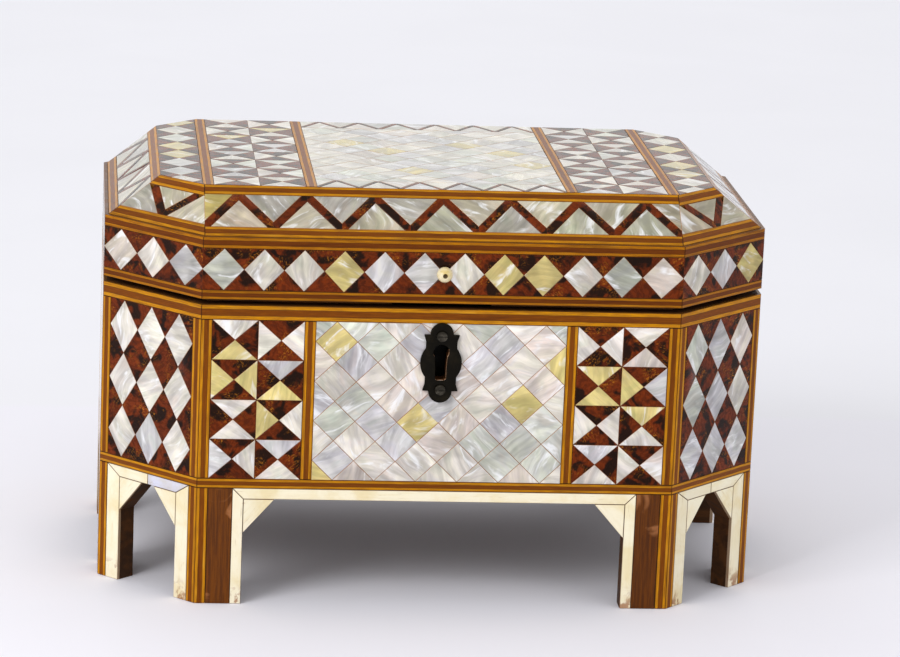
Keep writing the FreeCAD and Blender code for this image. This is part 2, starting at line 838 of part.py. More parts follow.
def mitred_strip(side, half, low, high):
    """A strip of stringing along a side, mitred at both arrises."""
    thick = value("veneer")
    near = half - value("tile_joint") / 2
    far = near - value(MITRE) * thick
    return mitred_piece(side, [(-near, 0), (near, 0), (far, thick), (-far, thick)], low, high)


def arris_strip(side, half, sign, low, high):
    """A strip of stringing up an arris, mitred into the strip of the next side."""
    thick = value("veneer")
    near = half - value("tile_joint") / 2
    far = near - value(MITRE) * thick
    inner = half - value("stripe") + value("tile_joint") / 2
    outline = [(sign * inner, 0), (sign * near, 0), (sign * far, thick), (sign * inner, thick)]
    return mitred_piece(side, outline, low, high)


def wall_inlay(side):
    """Stringing frame and panels of one side of the case."""
    half = value(SIDES[side][3])
    stripe = value("stripe")
    foot = value("leg_height")
    rim = value(RIM)
    low = foot + value("wall_foot_stripe")
    high = rim - value("wall_top_stripe")
    edge = half - stripe
    place = face_tile(side)
    stringing["body"] += [arris_strip(side, half, sign, low, high) for sign in (-1, 1)]
    for bottom, top in ((foot, low), (high, rim)):
        stringing["body"].append(mitred_strip(side, half, bottom, top))
    if "_" in side:
        light, dark = diamond_panel(-edge, edge, low, high, CORNER_COLUMNS, CORNER_ROWS)
        lay(pearl, "body", light, rectangle(-edge, edge, low, high), place)
        lay(shell, "body", dark, rectangle(-edge, edge, low, high), place)
        return
    middle = edge
    if side in ("front", "back"):
        outer = edge - value("pinwheel_panel")
        middle = outer - stripe
        for sign, first in ((-1, 1), (1, 0)):
            left, right = sorted((sign * outer, sign * edge))
            frame = rectangle(left, right, low, high)
            light, dark = pinwheel_panel(left, right, low, high, 2, WALL_ROWS, first)
            lay(pearl, "body", light, frame, place)
            lay(shell, "body", dark, frame, place)
            left, right = sorted((sign * middle, sign * outer))
            stringing["body"].append(place(jointed(rectangle(left, right, low, high))))
    frame = rectangle(-middle, middle, low, high)
    full, between = diamond_panel(-middle, middle, low, high, LATTICE_COLUMNS, WALL_ROWS)
    lay(pearl, "body", full + between, frame, place)


def skirt_inlay(side):
    """Bone edging, stringing and veneer on the legs and apron of one side."""
    half = value(SIDES[side][3])
    leg = value(leg_width(side))
    stripe = value("stripe")
    foot = value(APRON_FOOT)
    top = value("leg_height")
    place = face_tile(side)
    inner = half - leg
    edging = leg - stripe if "_" in side else value("leg_bone")
    rail_ends = [-inner - edging, inner + edging]
    rail = [(-inner, foot), (inner, foot), (rail_ends[1], top), (rail_ends[0], top)]
    if "_" in side:
        bone.append(place(jointed(trim(rail, (0, foot), (0, top)))))
        bone.append(place(jointed(trim(rail, (0, top), (0, foot)))))
    else:
        bone.append(place(jointed(rail)))
    for sign in (-1, 1):
        stringing["body"].append(arris_strip(side, half, sign, 0, top))
        outer = sign * (inner + edging)
        post = [(sign * inner, 0), (outer, 0), (outer, top), (sign * inner, foot)]
        bone.append(place(jointed(ordered(post))))
        bone.append(place(jointed(ordered(bracket_outline(side, sign)))))
        if "_" not in side:
            left, right = sorted((outer, sign * (half - stripe)))
            leg_veneers.append(place(jointed(rectangle(left, right, 0, top))))


for side in SIDES:
    wall_inlay(side)
    skirt_inlay(side)

FRIEZE_COLUMNS = {"front": 12, "back": 12, "left": 6, "right": 6}
BEVEL_POINTS = {"front": 7, "back": 7, "left": 4, "right": 4}


def frieze_inlay(side):
    """Row of rhombi between two strips round the lid."""
    half = value(SIDES[side][3])
    foot = value(LID_FOOT)
    arris = value(ARRIS)
    low = foot + value("frieze_low_stripe")
    high = arris - value("frieze_high_stripe")
    stringing["lid"].append(mitred_strip(side, half, foot, low))
    stringing["lid"].append(mitred_strip(side, half, high, arris))
    edge = half - value(MITRE) * value("veneer")
    frame = rectangle(-edge, edge, low, high)
    light, dark = diamond_panel(-edge, edge, low, high, FRIEZE_COLUMNS.get(side, CORNER_COLUMNS), 1)
    lay(pearl, "lid", light, frame, face_tile(side))
    lay(shell, "lid", dark, frame, face_tile(side))


def bevel_inlay(side):
    """Zigzag of triangles between two strips on a bevel, laid out along its slope."""
    corners = bevel_outline(side)
    half = corners[1].x
    top_half = corners[2].x
    slope = (corners[2] - corners[1]).dot(FreeCAD.Vector(0, 1, 0))
    rise = corners[2].z - corners[1].z
    length = math.hypot(slope, rise)
    whole = [(-half, 0), (half, 0), (top_half, length), (-top_half, length)]
    drop = FreeCAD.Vector(0, 0, -value("bevel_veneer_drop"))

    def place(outline):
        points = [
            FreeCAD.Vector(u, corners[0].y + s * slope / length, corners[0].z + s * rise / length)
            for u, s in outline
        ]
        piece = prism(points, drop)
        piece.Placement = side_frame(side)
        return piece

    strip = value("bevel_stripe")
    low, high = strip, length - strip
    stringing["lid"].append(place(jointed(trim(whole, (half, low), (-half, low)))))
    stringing["lid"].append(place(jointed(trim(whole, (-half, high), (half, high)))))
    band = trim(trim(whole, (-half, low), (half, low)), (half, high), (-half, high))
    points = BEVEL_POINTS.get(side)
    if points:
        step = 2 * half / points
        turns = []
        for index in range(points):
            turns += [(-half + index * step, low), (-half + (index + 0.5) * step, high)]
        turns.append((half, low))
    else:
        turns = [(-top_half, high), (0, low), (top_half, high)]
    light, dark = zigzag_band(band, turns, value("zigzag_strip"))
    lay(pearl, "lid", light, band, place)
    lay(shell, "lid", dark, band, place)


for side in SIDES:
    frieze_inlay(side)
    bevel_inlay(side)

TOP_ROWS = 8
TOP_LATTICE_ROWS = 7
TOP_ZIGZAGS = 6


def top_inlay():
    """Panels of the lid top from the middle outwards: lattice, pinwheels and a row of rhombi."""
    frame = [(value(x), value(y)) for x, y in TOP_CORNERS]
    back = value(TOP_Y)
    stripe = value("stripe")
    edge = value(TOP_X)
    arm = value(LONG) - stripe
    outer = arm - value("pinwheel_panel")
    middle = outer - stripe
    band = value("top_zigzag_band")
    ground = value(TOP_GROUND)

    def place(outline):
        points = [FreeCAD.Vector(u, v, ground) for u, v in outline]
        return prism(points, FreeCAD.Vector(0, 0, value("veneer")))

    for sign, first in ((-1, 1), (1, 0)):
        left, right = sorted((sign * middle, sign * outer))
        stringing["lid"].append(place(jointed(rectangle(left, right, -back, back))))
        left, right = sorted((sign * outer, sign * arm))
        light, dark = pinwheel_panel(left, right, -back, back, 2, TOP_ROWS, first)
        lay(pearl, "lid", light, frame, place)
        lay(shell, "lid", dark, frame, place)
        left, right = sorted((sign * arm, sign * (arm + stripe)))
        stringing["lid"].append(place(jointed(inside(rectangle(left, right, -back, back), frame))))
        left, right = sorted((sign * (arm + stripe), sign * edge))
        light, dark = diamond_panel(left, right, -back, back, 1, TOP_ROWS)
        column = inside(rectangle(left, right, -back, back), frame)
        lay(pearl, "lid", light, column, place)
        lay(shell, "lid", dark, column, place)
    inner = back - band
    full, between = diamond_panel(-middle, middle, -inner, inner, LATTICE_COLUMNS, TOP_LATTICE_ROWS)
    lay(pearl, "lid", full + between, rectangle(-middle, middle, -inner, inner), place)
    step = 2 * middle / TOP_ZIGZAGS
    for near, far in ((-back, -inner), (inner, back)):
        turns = []
        for index in range(TOP_ZIGZAGS):
            turns += [(-middle + index * step, near), (-middle + (index + 0.5) * step, far)]
        turns.append((middle, near))
        field = rectangle(-middle, middle, near, far)
        light, dark = zigzag_band(field, turns, value("zigzag_strip") / 2)
        lay(pearl, "lid", light, field, place)
        lay(shell, "lid", dark, field, place)


top_inlay()


def pierced(tiles, cutters):
    """Tiles with the holes of what passes through them."""
    doc.recompute()
    for cutter in cutters:
        hole = cutter.Shape
        tiles = [
            tile.cut(hole) if tile.BoundBox.intersect(hole.BoundBox) else tile
            for tile in tiles
        ]
    return [tile for tile in tiles if tile.Volume > SMALLEST_TILE]


pearl["body"] = pierced(pearl["body"], front_cuts)
pearl["lid"] = pierced(pearl["lid"], [knob_hole])
shell["lid"] = pierced(shell["lid"], [knob_hole])
for owner in ("body", "lid"):
    node(solid_feature(owner + "_pearl", Part.makeCompound(pearl[owner])), owner + "_pearl_tiles")
    node(solid_feature(owner + "_shell", Part.makeCompound(shell[owner])), owner + "_shell_tiles")
    node(solid_feature(owner + "_lines", Part.makeCompound(stringing[owner])), owner + "_stringing")
node(solid_feature("skirt_bone_set", Part.makeCompound(bone)), "skirt_bone")
node(solid_feature("leg_veneer_set", Part.makeCompound(leg_veneers)), "leg_veneer")


# Hinges
KNUCKLE = f"((hinge_length - {HINGE_KNUCKLES - 1} * knuckle_gap) / {HINGE_KNUCKLES})"
LEAF_EDGE = f"({HINGE_Y} - knuckle_radius - knuckle_gap)"


def hinge_leaf(name, low, high, knuckles):
    """A leaf with its own knuckles, for the right hinge."""
    start = f"({HINGE_X} - hinge_length / 2)"
    pieces = [block(name + "_plate", (start, f"{start} + hinge_length"),
                    ("depth / 2 - hinge_leaf_depth", LEAF_EDGE), (low, high))]
    for index in knuckles:
        left = f"({start} + {index} * ({KNUCKLE} + knuckle_gap))"
        ends = (left, f"{left} + {KNUCKLE}")
        pieces.append(block(f"{name}_tab{index}", ends, (LEAF_EDGE, HINGE_Y), (low, high)))
        pieces.append(rod(f"{name}_knuckle{index}", "x", "knuckle_radius", *ends, (HINGE_Y, HINGE_Z)))
    bore = rod(name + "_bore", "x", "hinge_pin_radius + bearing_clearance", f"{start} - overcut",
               f"{start} + hinge_length + overcut", (HINGE_Y, HINGE_Z))
    heads = [
        rod(f"{name}_head_hole{index}", "z", "hinge_screw_radius * 2 + bearing_clearance", f"{low} - overcut",
            f"{high} + overcut", place)
        for index, place in enumerate(list(hinge_screw_places())[:len(HINGE_SCREW_STEPS)])
    ]
    return less(name, fused(name + "_blank", pieces), [bore] + heads)


def hinge_pair(label, leaf):
    return node(group(label + "_pair", [leaf, mirrored(label + "_left", leaf, (1, 0, 0))]), label)


def hinge_screws(name, leaf_low, leaf_high, tip_low, tip_high):
    """Flush screws of the leaves on one side of the gap."""
    heads = hinge_screw_rods(name + "_head", "hinge_screw_radius * 2", leaf_low, leaf_high)
    shanks = hinge_screw_rods(name + "_shank", "hinge_screw_radius", tip_low, tip_high)
    return [fused(f"{name}_screw{index}", list(pair)) for index, pair in enumerate(zip(heads, shanks))]


CASE_LEAF = (RIM, f"({RIM} + hinge_leaf)")
LID_LEAF = (f"({LID_FOOT} - hinge_leaf)", LID_FOOT)
hinge_pair("case_hinge_leaves", hinge_leaf("case_leaf", *CASE_LEAF, range(0, HINGE_KNUCKLES, 2)))
hinge_pair("lid_hinge_leaves", hinge_leaf("lid_leaf", *LID_LEAF, range(1, HINGE_KNUCKLES, 2)))
hinge_pin = rod("hinge_pin", "x", "hinge_pin_radius", f"{HINGE_X} - hinge_length / 2",
                f"{HINGE_X} + hinge_length / 2", (HINGE_Y, HINGE_Z))
hinge_pair("hinge_pins", hinge_pin)
case_screws = hinge_screws("case_hinge", *CASE_LEAF, f"{RIM} - hinge_screw_length", RIM)
node(group("case_hinge_screw_set", case_screws), "case_hinge_screws")
lid_screws = hinge_screws("lid_hinge", *LID_LEAF, LID_FOOT, f"{LID_FOOT} + hinge_screw_length")
node(group("lid_hinge_screw_set", lid_screws), "lid_hinge_screws")


# Escutcheon, its screws and the lid knob
def escutcheon_outline():
    """Domed ends, pointed ears and a bulging waist, as lines and arcs about the plate's middle."""
    half = value("escutcheon_height") / 2
    dome = value("escutcheon_dome") / 2
    shoulder = half - value("escutcheon_dome_rise")
    neck = shoulder - value("escutcheon_ear_drop")
    bulge = value("escutcheon_bulge_half")
    waist = value("escutcheon_waist") / 2
    side = value("escutcheon_width") / 2
    ear = value("escutcheon_ears") / 2

    def at(x, z):
        return FreeCAD.Vector(x, 0, z)

    edges = []
    for way in (1, -1):
        dome_ends = [at(-way * dome, way * shoulder), at(way * dome, way * shoulder)]
        edges.append(Part.Arc(dome_ends[0], at(0, way * half), dome_ends[1]))
        corners = [(dome, shoulder), (ear, shoulder), (waist, neck), (waist, bulge)]
        points = [at(way * x, way * z) for x, z in corners]
        edges += [Part.LineSegment(*pair) for pair in zip(points, points[1:])]
        bulge_ends = [at(way * waist, way * bulge), at(way * waist, -way * bulge)]
        edges.append(Part.Arc(bulge_ends[0], at(way * side, 0), bulge_ends[1]))
        corners = [(waist, -bulge), (waist, -neck), (ear, -shoulder), (dome, -shoulder)]
        points = [at(way * x, way * z) for x, z in corners]
        edges += [Part.LineSegment(*pair) for pair in zip(points, points[1:])]
    return Part.Wire([edge.toShape() for edge in edges])


plate = Part.Face(escutcheon_outline()).extrude(FreeCAD.Vector(0, -value("escutcheon_thick"), 0))
plate = plate.translated(FreeCAD.Vector(0, value(FRONT_FACE), value(PLATE_MIDDLE)))
plate_blank = solid_feature("escutcheon_blank", plate)
PLATE_FACE = f"({FRONT_FACE} - escutcheon_thick)"
plate_bores = [
    rod(f"plate_bore{index}", "y", "plate_screw_shank + bearing_clearance", f"{PLATE_FACE} - overcut",
        f"{FRONT_FACE} + overcut", place)
    for index, place in enumerate(plate_screw_places())
]
node(less("escutcheon_plate", plate_blank, [keyhole("plate_keyhole")] + plate_bores), "escutcheon")


def plate_screw(index, place):
    """Low round head with a slot, and its shank."""
    top = f"{PLATE_FACE} - plate_screw_head_height"
    head = rod(f"plate_screw_head{index}", "y", "plate_screw_head", top, PLATE_FACE, place)
    shank = rod(f"plate_screw_shank{index}", "y", "plate_screw_shank", PLATE_FACE,
                f"{FRONT_FACE} + plate_screw_length", place)
    slot = block(f"plate_screw_slot{index}", ("-plate_screw_head", "plate_screw_head"),
                 (top, f"{top} + plate_screw_slot"),
                 (f"{place[1]} - plate_screw_slot / 2", f"{place[1]} + plate_screw_slot / 2"))
    return less(f"plate_screw{index}", fused(f"plate_screw_blank{index}", [head, shank]), [slot])


plate_screws = [plate_screw(index, place) for index, place in enumerate(plate_screw_places())]
node(group("plate_screw_pair", plate_screws), "escutcheon_screws")


def knob_profile():
    """Turned button: tenon, flat seat on the lid and a round head dished in the middle."""
    radius = value("knob_radius")
    neck = value("knob_neck")
    length = value("knob_length")
    tenon = value("knob_tenon")
    dish = value("knob_dish")
    middle = length - math.sqrt(radius ** 2 - dish ** 2)
    seat = math.sqrt(radius ** 2 - middle ** 2)

    def at(r, out):
        return FreeCAD.Vector(r, -out, 0)

    stem = [at(0, -tenon), at(neck, -tenon), at(neck, 0), at(seat, 0)]
    hollow = [at(dish, length), at(0, length - dish), at(0, -tenon)]
    edges = [Part.LineSegment(*pair) for pair in zip(stem, stem[1:])]
    edges.append(Part.Arc(at(seat, 0), at(radius, middle), at(dish, length)))
    edges += [Part.LineSegment(*pair) for pair in zip(hollow, hollow[1:])]
    return Part.Face(Part.Wire([edge.toShape() for edge in edges]))


knob = knob_profile().revolve(FreeCAD.Vector(), FreeCAD.Vector(0, 1, 0), 360)
knob_feature = solid_feature("knob_turning", knob)
knob_feature.Placement.Base = FreeCAD.Vector(0, value(FRONT_FACE), value(KNOB_Z))
node(knob_feature, "lid_knob")


# Box lock behind the front board
LOCK_X = ("-lock_width / 2", "lock_width / 2")
LOCK_Y = (LOCK_FRONT, f"({LOCK_FRONT} + lock_thick)")
LOCK_Z = (f"({LOCK_TOP} - lock_height)", LOCK_TOP)


def shrunk(pair, by):
    return (f"{pair[0]} + {by}", f"{pair[1]} - {by}")


BOLT_MIDDLE = f"({LOCK_FRONT} + lock_thick / 2)"
BOLT_Z = f"({LOCK_TOP} - bolt_below_lock_top)"
lock_slot = block("lock_slot", ("-staple_thick / 2 - stop_clearance", "staple_thick / 2 + stop_clearance"),
                  shrunk(LOCK_Y, "lock_wall"), (f"{LOCK_TOP} - lock_wall - overcut", f"{LOCK_TOP} + overcut"))
lock_hollow = block("lock_hollow", shrunk(LOCK_X, "lock_wall"), shrunk(LOCK_Y, "lock_wall"),
                    shrunk(LOCK_Z, "lock_wall"))
lock_blank = block("lock_blank", LOCK_X, LOCK_Y, LOCK_Z)
node(less("lock_box", lock_blank, [lock_hollow, lock_slot, keyhole("lock_keyhole")]), "lock_case")

BOLT_TIP = "(staple_thick / 2 + stop_clearance + bearing_clearance)"
BOLT_STEP = f"({BOLT_TIP} + bolt_length / 2)"
BOLT_HEIGHT = (f"{BOLT_Z} - bolt_tall / 2", f"{BOLT_Z} + bolt_tall / 2")
NOSE_Y = (f"{BOLT_MIDDLE} - bolt_nose / 2", f"{BOLT_MIDDLE} + bolt_nose / 2")
bolt_body = block("bolt_body", (BOLT_STEP, f"{BOLT_TIP} + bolt_length"),
                  shrunk(LOCK_Y, "(lock_wall + slide_clearance)"), BOLT_HEIGHT)
bolt_nose = block("bolt_nose", (BOLT_TIP, BOLT_STEP), NOSE_Y, BOLT_HEIGHT)
node(fused("bolt", [bolt_body, bolt_nose]), "lock_bolt")

RAIL_FACE = f"(-depth / 2 + {LID_RAIL_IN})"
STAPLE_LOW = f"({LID_FOOT} + lock_wall)"
STAPLE_X = ("-staple_thick / 2", "staple_thick / 2")
tongue = block("staple_tongue", STAPLE_X,
               (f"{BOLT_MIDDLE} - staple_width / 2", f"{BOLT_MIDDLE} + staple_width / 2"),
               (f"{LID_FOOT} - staple_drop", f"{LID_FOOT} + staple_width"))
staple_plate = block("staple_plate", ("-staple_plate_half", "staple_plate_half"),
                     (RAIL_FACE, f"{RAIL_FACE} + lock_wall"),
                     (STAPLE_LOW, f"{LID_FOOT} + staple_plate_height"))
staple_web = block("staple_web", STAPLE_X, (RAIL_FACE, BOLT_MIDDLE),
                   (STAPLE_LOW, f"{LID_FOOT} + staple_width"))
staple_eye = block("staple_eye", ("-staple_thick", "staple_thick"), shrunk(NOSE_Y, "-stop_clearance"),
                   shrunk(BOLT_HEIGHT, "-stop_clearance"))
node(less("staple", fused("staple_blank", [tongue, staple_plate, staple_web]), [staple_eye]), "lock_staple")


# Movement: winding arbor, going barrel with a crown of teeth, ratchet, click and key
RATCHET_LOW = f"({BED_TOP} + axial_play)"
RATCHET_HIGH = f"({RATCHET_LOW} + ratchet_thick)"
DRUM_LOW = f"({RATCHET_HIGH} + axial_play)"
DRUM_HIGH = f"({DRUM_LOW} + barrel_height)"
CROWN_ROOT = f"({DRUM_HIGH} - crown_tooth)"
CROWN_MIDDLE = "(barrel_radius - barrel_wall / 2)"
DRIVE_RADIUS = f"({CROWN_MIDDLE} * {DRIVE_PINION_TEETH} / {CROWN_TEETH})"
AXIS_Z = f"({DRUM_HIGH} - crown_addendum + {DRIVE_RADIUS})"
ARBOR = (ARBOR_X, "0")
RUNNING = "arbor_radius + bearing_clearance"

# Shapes of all teeth: their share of a pitch, their tip and root as shares of that, and their
# height above and depth below the pitch circle in modules.
TOOTH_SHARE = 0.34
TIP_TAPER = 0.5
ROOT_FLARE = 1.2
ADDENDUM = 0.85
DEDENDUM = 1.15
RIM_MODULES = 4
HALF_STEP = 0.5
DOWNWARD = 0.75

bed_blank = block("bed_blank", (BED_LEFT, BED_RIGHT), ("-bed_depth / 2", "bed_depth / 2"),
                  (BASE_TOP, BED_TOP))
BED_CUT = (f"{BASE_TOP} - overcut", f"{BED_TOP} + overcut")
bed_cuts = [rod("bed_arbor_hole", "z", RUNNING, *BED_CUT, ARBOR)]
bed_cuts += [rod("bed_screw_hole" + key, "z", SCREW_CLEAR, *BED_CUT, place) for key, place in bed_corners()]
CLICK_X = f"({ARBOR_X} - click_reach)"
CLICK_Y = "(-ratchet_radius + click_axis_in)"
bed_cuts.append(rod("bed_click_hole", "z", SCREW_CLEAR, *BED_CUT, (CLICK_X, CLICK_Y)))
node(less("bed", bed_blank, bed_cuts), "bedplate")


def screw(name, axis_place, seat, tip, head_way):
    """A round-headed screw along Z, with its head above or below its seat."""
    edges = [seat, f"{seat} {head_way} comb_screw_head_height"]
    ends = [tip, seat]
    if head_way == "-":
        edges.reverse()
        ends.reverse()
    head = rod(name + "_head", "z", "comb_screw_head", *edges, axis_place)
    shank = rod(name + "_shank", "z", "comb_screw_radius", *ends, axis_place)
    return fused(name, [head, shank])


bed_screws = [screw("bed_screw" + key, place, "leg_height", BED_TOP, "-") for key, place in bed_corners()]
node(group("bed_screw_set", bed_screws), "bedplate_screws")


def drum_slot(index):
    """One gap of the crown of teeth."""
    pitch = 2 * math.pi * value(CROWN_MIDDLE) / CROWN_TEETH
    wide = pitch * (1 - TOOTH_SHARE)
    past = value("overcut")
    deep = value("barrel_wall") + 2 * past
    inner = value("barrel_radius") - deep + past
    slot = Part.makeBox(deep, wide, value("crown_tooth") + past,
                        FreeCAD.Vector(inner, -wide / 2, value(CROWN_ROOT)))
    slot.rotate(FreeCAD.Vector(), Z_AXIS, index * 360 / CROWN_TEETH)
    return slot.translated(FreeCAD.Vector(value(ARBOR_X), 0, 0))


drum_blank = rod("drum_blank", "z", "barrel_radius", DRUM_LOW, DRUM_HIGH, ARBOR)
drum_hollow = rod("drum_hollow", "z", "barrel_radius - barrel_wall", f"{DRUM_LOW} + barrel_plate",
                  f"{DRUM_HIGH} + overcut", ARBOR)
drum_bore = rod("drum_bore", "z", RUNNING, f"{DRUM_LOW} - overcut", f"{DRUM_HIGH} + overcut", ARBOR)
drum_cup = less("drum_cup", drum_blank, [drum_hollow, drum_bore])
crown_gaps = Part.makeCompound([drum_slot(index) for index in range(CROWN_TEETH)])
drum_slots = solid_feature("drum_slots", crown_gaps)
node(less("drum", drum_cup, [drum_slots]), "barrel_drum")

COVER_LOW = f"({CROWN_ROOT} - barrel_plate)"
cover_disc = rod("cover_disc", "z", "barrel_radius - barrel_wall", COVER_LOW, CROWN_ROOT, ARBOR)
cover_bore = rod("cover_bore", "z", RUNNING, f"{COVER_LOW} - overcut", f"{CROWN_ROOT} + overcut", ARBOR)
node(less("cover", cover_disc, [cover_bore]), "barrel_cover")


def spring_outline():
    """Flat strip wound in half turns whose radius grows by half a pitch each."""
    strip = value("spring_strip")
    play = value("stop_clearance")
    start = value("arbor_radius") + play
    pitch = (value("barrel_radius - barrel_wall") - play - start - strip) / SPRING_TURNS

    def half_turn(index, extra):
        radius = start + index * pitch / 2 + extra
        middle = (index % 2) * pitch / 2
        way = 1 if index % 2 == 0 else -1
        return [FreeCAD.Vector(middle + way * radius, 0, 0), FreeCAD.Vector(middle, way * radius, 0),
                FreeCAD.Vector(middle - way * radius, 0, 0)]

    inner = [half_turn(index, 0) for index in range(2 * SPRING_TURNS)]
    outer = [half_turn(index, strip) for index in range(2 * SPRING_TURNS)]
    edges = [Part.Arc(*turn) for turn in inner]
    edges.append(Part.LineSegment(inner[-1][2], outer[-1][2]))
    edges += [Part.Arc(*turn[::-1]) for turn in outer[::-1]]
    edges.append(Part.LineSegment(outer[0][0], inner[0][0]))
    return Part.Face(Part.Wire([edge.toShape() for edge in edges]))


spring_low = value(f"{DRUM_LOW} + barrel_plate + axial_play")
spring_high = value(f"{COVER_LOW} - axial_play")
spring = solid_feature("spring", spring_outline().extrude(FreeCAD.Vector(0, 0, spring_high - spring_low)))
spring.Placement.Base = FreeCAD.Vector(value(ARBOR_X), 0, spring_low)
node(spring, "mainspring")

BRIDGE_LOW = f"({DRUM_HIGH} + end_gap)"
BRIDGE_HIGH = f"({BRIDGE_LOW} + bridge_thick)"
KEY_TOP = "(leg_height - key_below_base)"
KEY_HUB_LOW = f"({KEY_TOP} - key_hub_height)"
KEY_SEAT = f"({KEY_HUB_LOW} + key_bore_stop)"
ARBOR_STEP = f"({BRIDGE_LOW} - axial_play)"
arbor_bar = rod("arbor_bar", "z", "arbor_radius", KEY_SEAT, ARBOR_STEP, ARBOR)
arbor_pivot = rod("arbor_pivot", "z", "arbor_pivot_radius", ARBOR_STEP, BRIDGE_HIGH, ARBOR)
node(fused("arbor", [arbor_bar, arbor_pivot]), "winding_arbor")

key_hub = rod("key_hub", "z", "key_hub_radius", KEY_HUB_LOW, KEY_TOP, ARBOR)
WING_MIDDLE = f"({KEY_SEAT} - key_wing_height / 2)"
WING_Y = ("-key_wing_thick / 2", "key_wing_thick / 2")
WING_HALF = "(key_width / 2 - key_wing_height / 2)"
LOBES = [(f"{ARBOR_X} {sign} {WING_HALF}", WING_MIDDLE) for sign in "+-"]
key_wing = block("key_wing", (LOBES[1][0], LOBES[0][0]), WING_Y,
                 (f"{WING_MIDDLE} - key_wing_height / 2", f"{WING_MIDDLE} + key_wing_height / 2"))
key_lobes = [rod(f"key_lobe{index}", "y", "key_wing_height / 2", *WING_Y, place)
             for index, place in enumerate(LOBES)]
key_blank = fused("key_blank", [key_hub, key_wing] + key_lobes)
key_bore = rod("key_bore", "z", "arbor_radius", KEY_SEAT, f"{KEY_TOP} + overcut", ARBOR)
key_eyes = [rod(f"key_eye{index}", "y", "key_eye_radius", "-key_wing_thick", "key_wing_thick", place)
            for index, place in enumerate(LOBES)]
node(less("key", key_blank, [key_bore] + key_eyes), "winding_key")


def polar(radius, angle):
    return FreeCAD.Vector(radius * math.cos(angle), radius * math.sin(angle), 0)


def ratchet_shape():
    """Saw teeth whose steep faces look against the winding turn."""
    tip = value("ratchet_radius")
    root = tip - value("ratchet_tooth")
    step = 2 * math.pi / RATCHET_TEETH
    first = -math.pi / 2 + value("stop_clearance") / root
    points = []
    for index in range(RATCHET_TEETH):
        points += [polar(root, first + index * step), polar(tip, first + index * step)]
    wheel = prism(points, FreeCAD.Vector(0, 0, value("ratchet_thick")))
    return wheel.cut(Part.makeCylinder(value("arbor_radius"), value("ratchet_thick")))


ratchet = solid_feature("ratchet", ratchet_shape())
ratchet.Placement.Base = FreeCAD.Vector(value(ARBOR_X), 0, value(RATCHET_LOW))
node(ratchet, "ratchet_wheel")


def click_shape():
    """Lever with a narrow nose standing clear over the tips of the ratchet."""
    reach = value("click_reach")
    nose = value("click_nose")
    wide = value("click_width")
    edge = -value("ratchet_radius") - value("ratchet_tooth") - value("click_lift")
    tip = -value("ratchet_radius") - value("click_lift")
    tail = -reach - wide / 2
    axis_y = value(CLICK_Y)
    outline = [
        (tail, edge - wide), (wide / 2, edge - wide), (0, tip), (-nose, tip), (-2 * nose, edge),
        (-reach + wide, edge), (-reach + wide / 2, axis_y + wide / 2), (tail, axis_y + wide / 2),
    ]
    thick = value("ratchet_thick")
    lever = prism([FreeCAD.Vector(x, y, 0) for x, y in outline], FreeCAD.Vector(0, 0, thick))
    return lever.cut(Part.makeCylinder(value(SCREW_CLEAR), thick, FreeCAD.Vector(-reach, axis_y, 0)))


click = solid_feature("click_lever", click_shape())
click.Placement.Base = FreeCAD.Vector(value(ARBOR_X), 0, value(RATCHET_LOW))
node(click, "click")
click_pin = rod("click_pin_bar", "z", "comb_screw_radius", BASE_TOP, RATCHET_HIGH, (CLICK_X, CLICK_Y))
node(click_pin, "click_pin")

PILLAR_Y = "(barrel_radius + end_gap + pillar_radius)"
PILLARS = [(ARBOR_X, sign + PILLAR_Y) for sign in ("", "-")]
bridge_bar = block("bridge_bar", (f"{ARBOR_X} - bridge_width / 2", f"{ARBOR_X} + bridge_width / 2"),
                   (f"-{PILLAR_Y} - pillar_radius", f"{PILLAR_Y} + pillar_radius"),
                   (BRIDGE_LOW, BRIDGE_HIGH))
pillars = [rod(f"bridge_pillar{index}", "z", "pillar_radius", BED_TOP, BRIDGE_LOW, place)
           for index, place in enumerate(PILLARS)]
BRIDGE_OVER = f"{BRIDGE_HIGH} + overcut"
SCREW_TIP = f"({BRIDGE_HIGH} - comb_screw_length)"
bridge_cuts = [rod("bridge_bore", "z", "arbor_pivot_radius + bearing_clearance", f"{BRIDGE_LOW} - overcut",
                   BRIDGE_OVER, ARBOR)]
bridge_cuts += [rod(f"bridge_screw_hole{index}", "z", SCREW_CLEAR, f"{SCREW_TIP} - bearing_clearance",
                    BRIDGE_OVER, place) for index, place in enumerate(PILLARS)]
node(less("bridge", fused("bridge_blank", [bridge_bar] + pillars), bridge_cuts), "barrel_bridge")
movement_screws = [screw(f"bridge_screw{index}", place, BRIDGE_HIGH, SCREW_TIP, "+")
                   for index, place in enumerate(PILLARS)]


# Cylinder, its pins and its wheels
PINION_X = (f"({ARBOR_X} + barrel_radius - barrel_wall)", f"({ARBOR_X} + barrel_radius)")
POST_X = (f"({PINION_X[1]} + end_gap)", f"({PINION_X[1]} + end_gap + plate_thick)")
CYLINDER_X = (f"({POST_X[1]} + end_gap)", f"({POST_X[1]} + end_gap + cylinder_length)")
WHEEL_X = (f"({CYLINDER_X[1]} + end_gap)", f"({CYLINDER_X[1]} + end_gap + wheel_thick)")
PLATE_X = (f"({WHEEL_X[1]} + end_gap)", f"({WHEEL_X[1]} + end_gap + plate_thick)")
OUTER_WHEEL_X = (f"({PLATE_X[1]} + end_gap)", f"({PLATE_X[1]} + end_gap + wheel_thick)")
OUTER_PLATE_X = (f"({OUTER_WHEEL_X[1]} + end_gap)", f"({OUTER_WHEEL_X[1]} + end_gap + plate_thick)")
AXIS = ("0", AXIS_Z)
TRAIN_Y = f"(wheel_module * {WHEEL_TEETH + TRAIN_PINION_TEETH} / 2)"
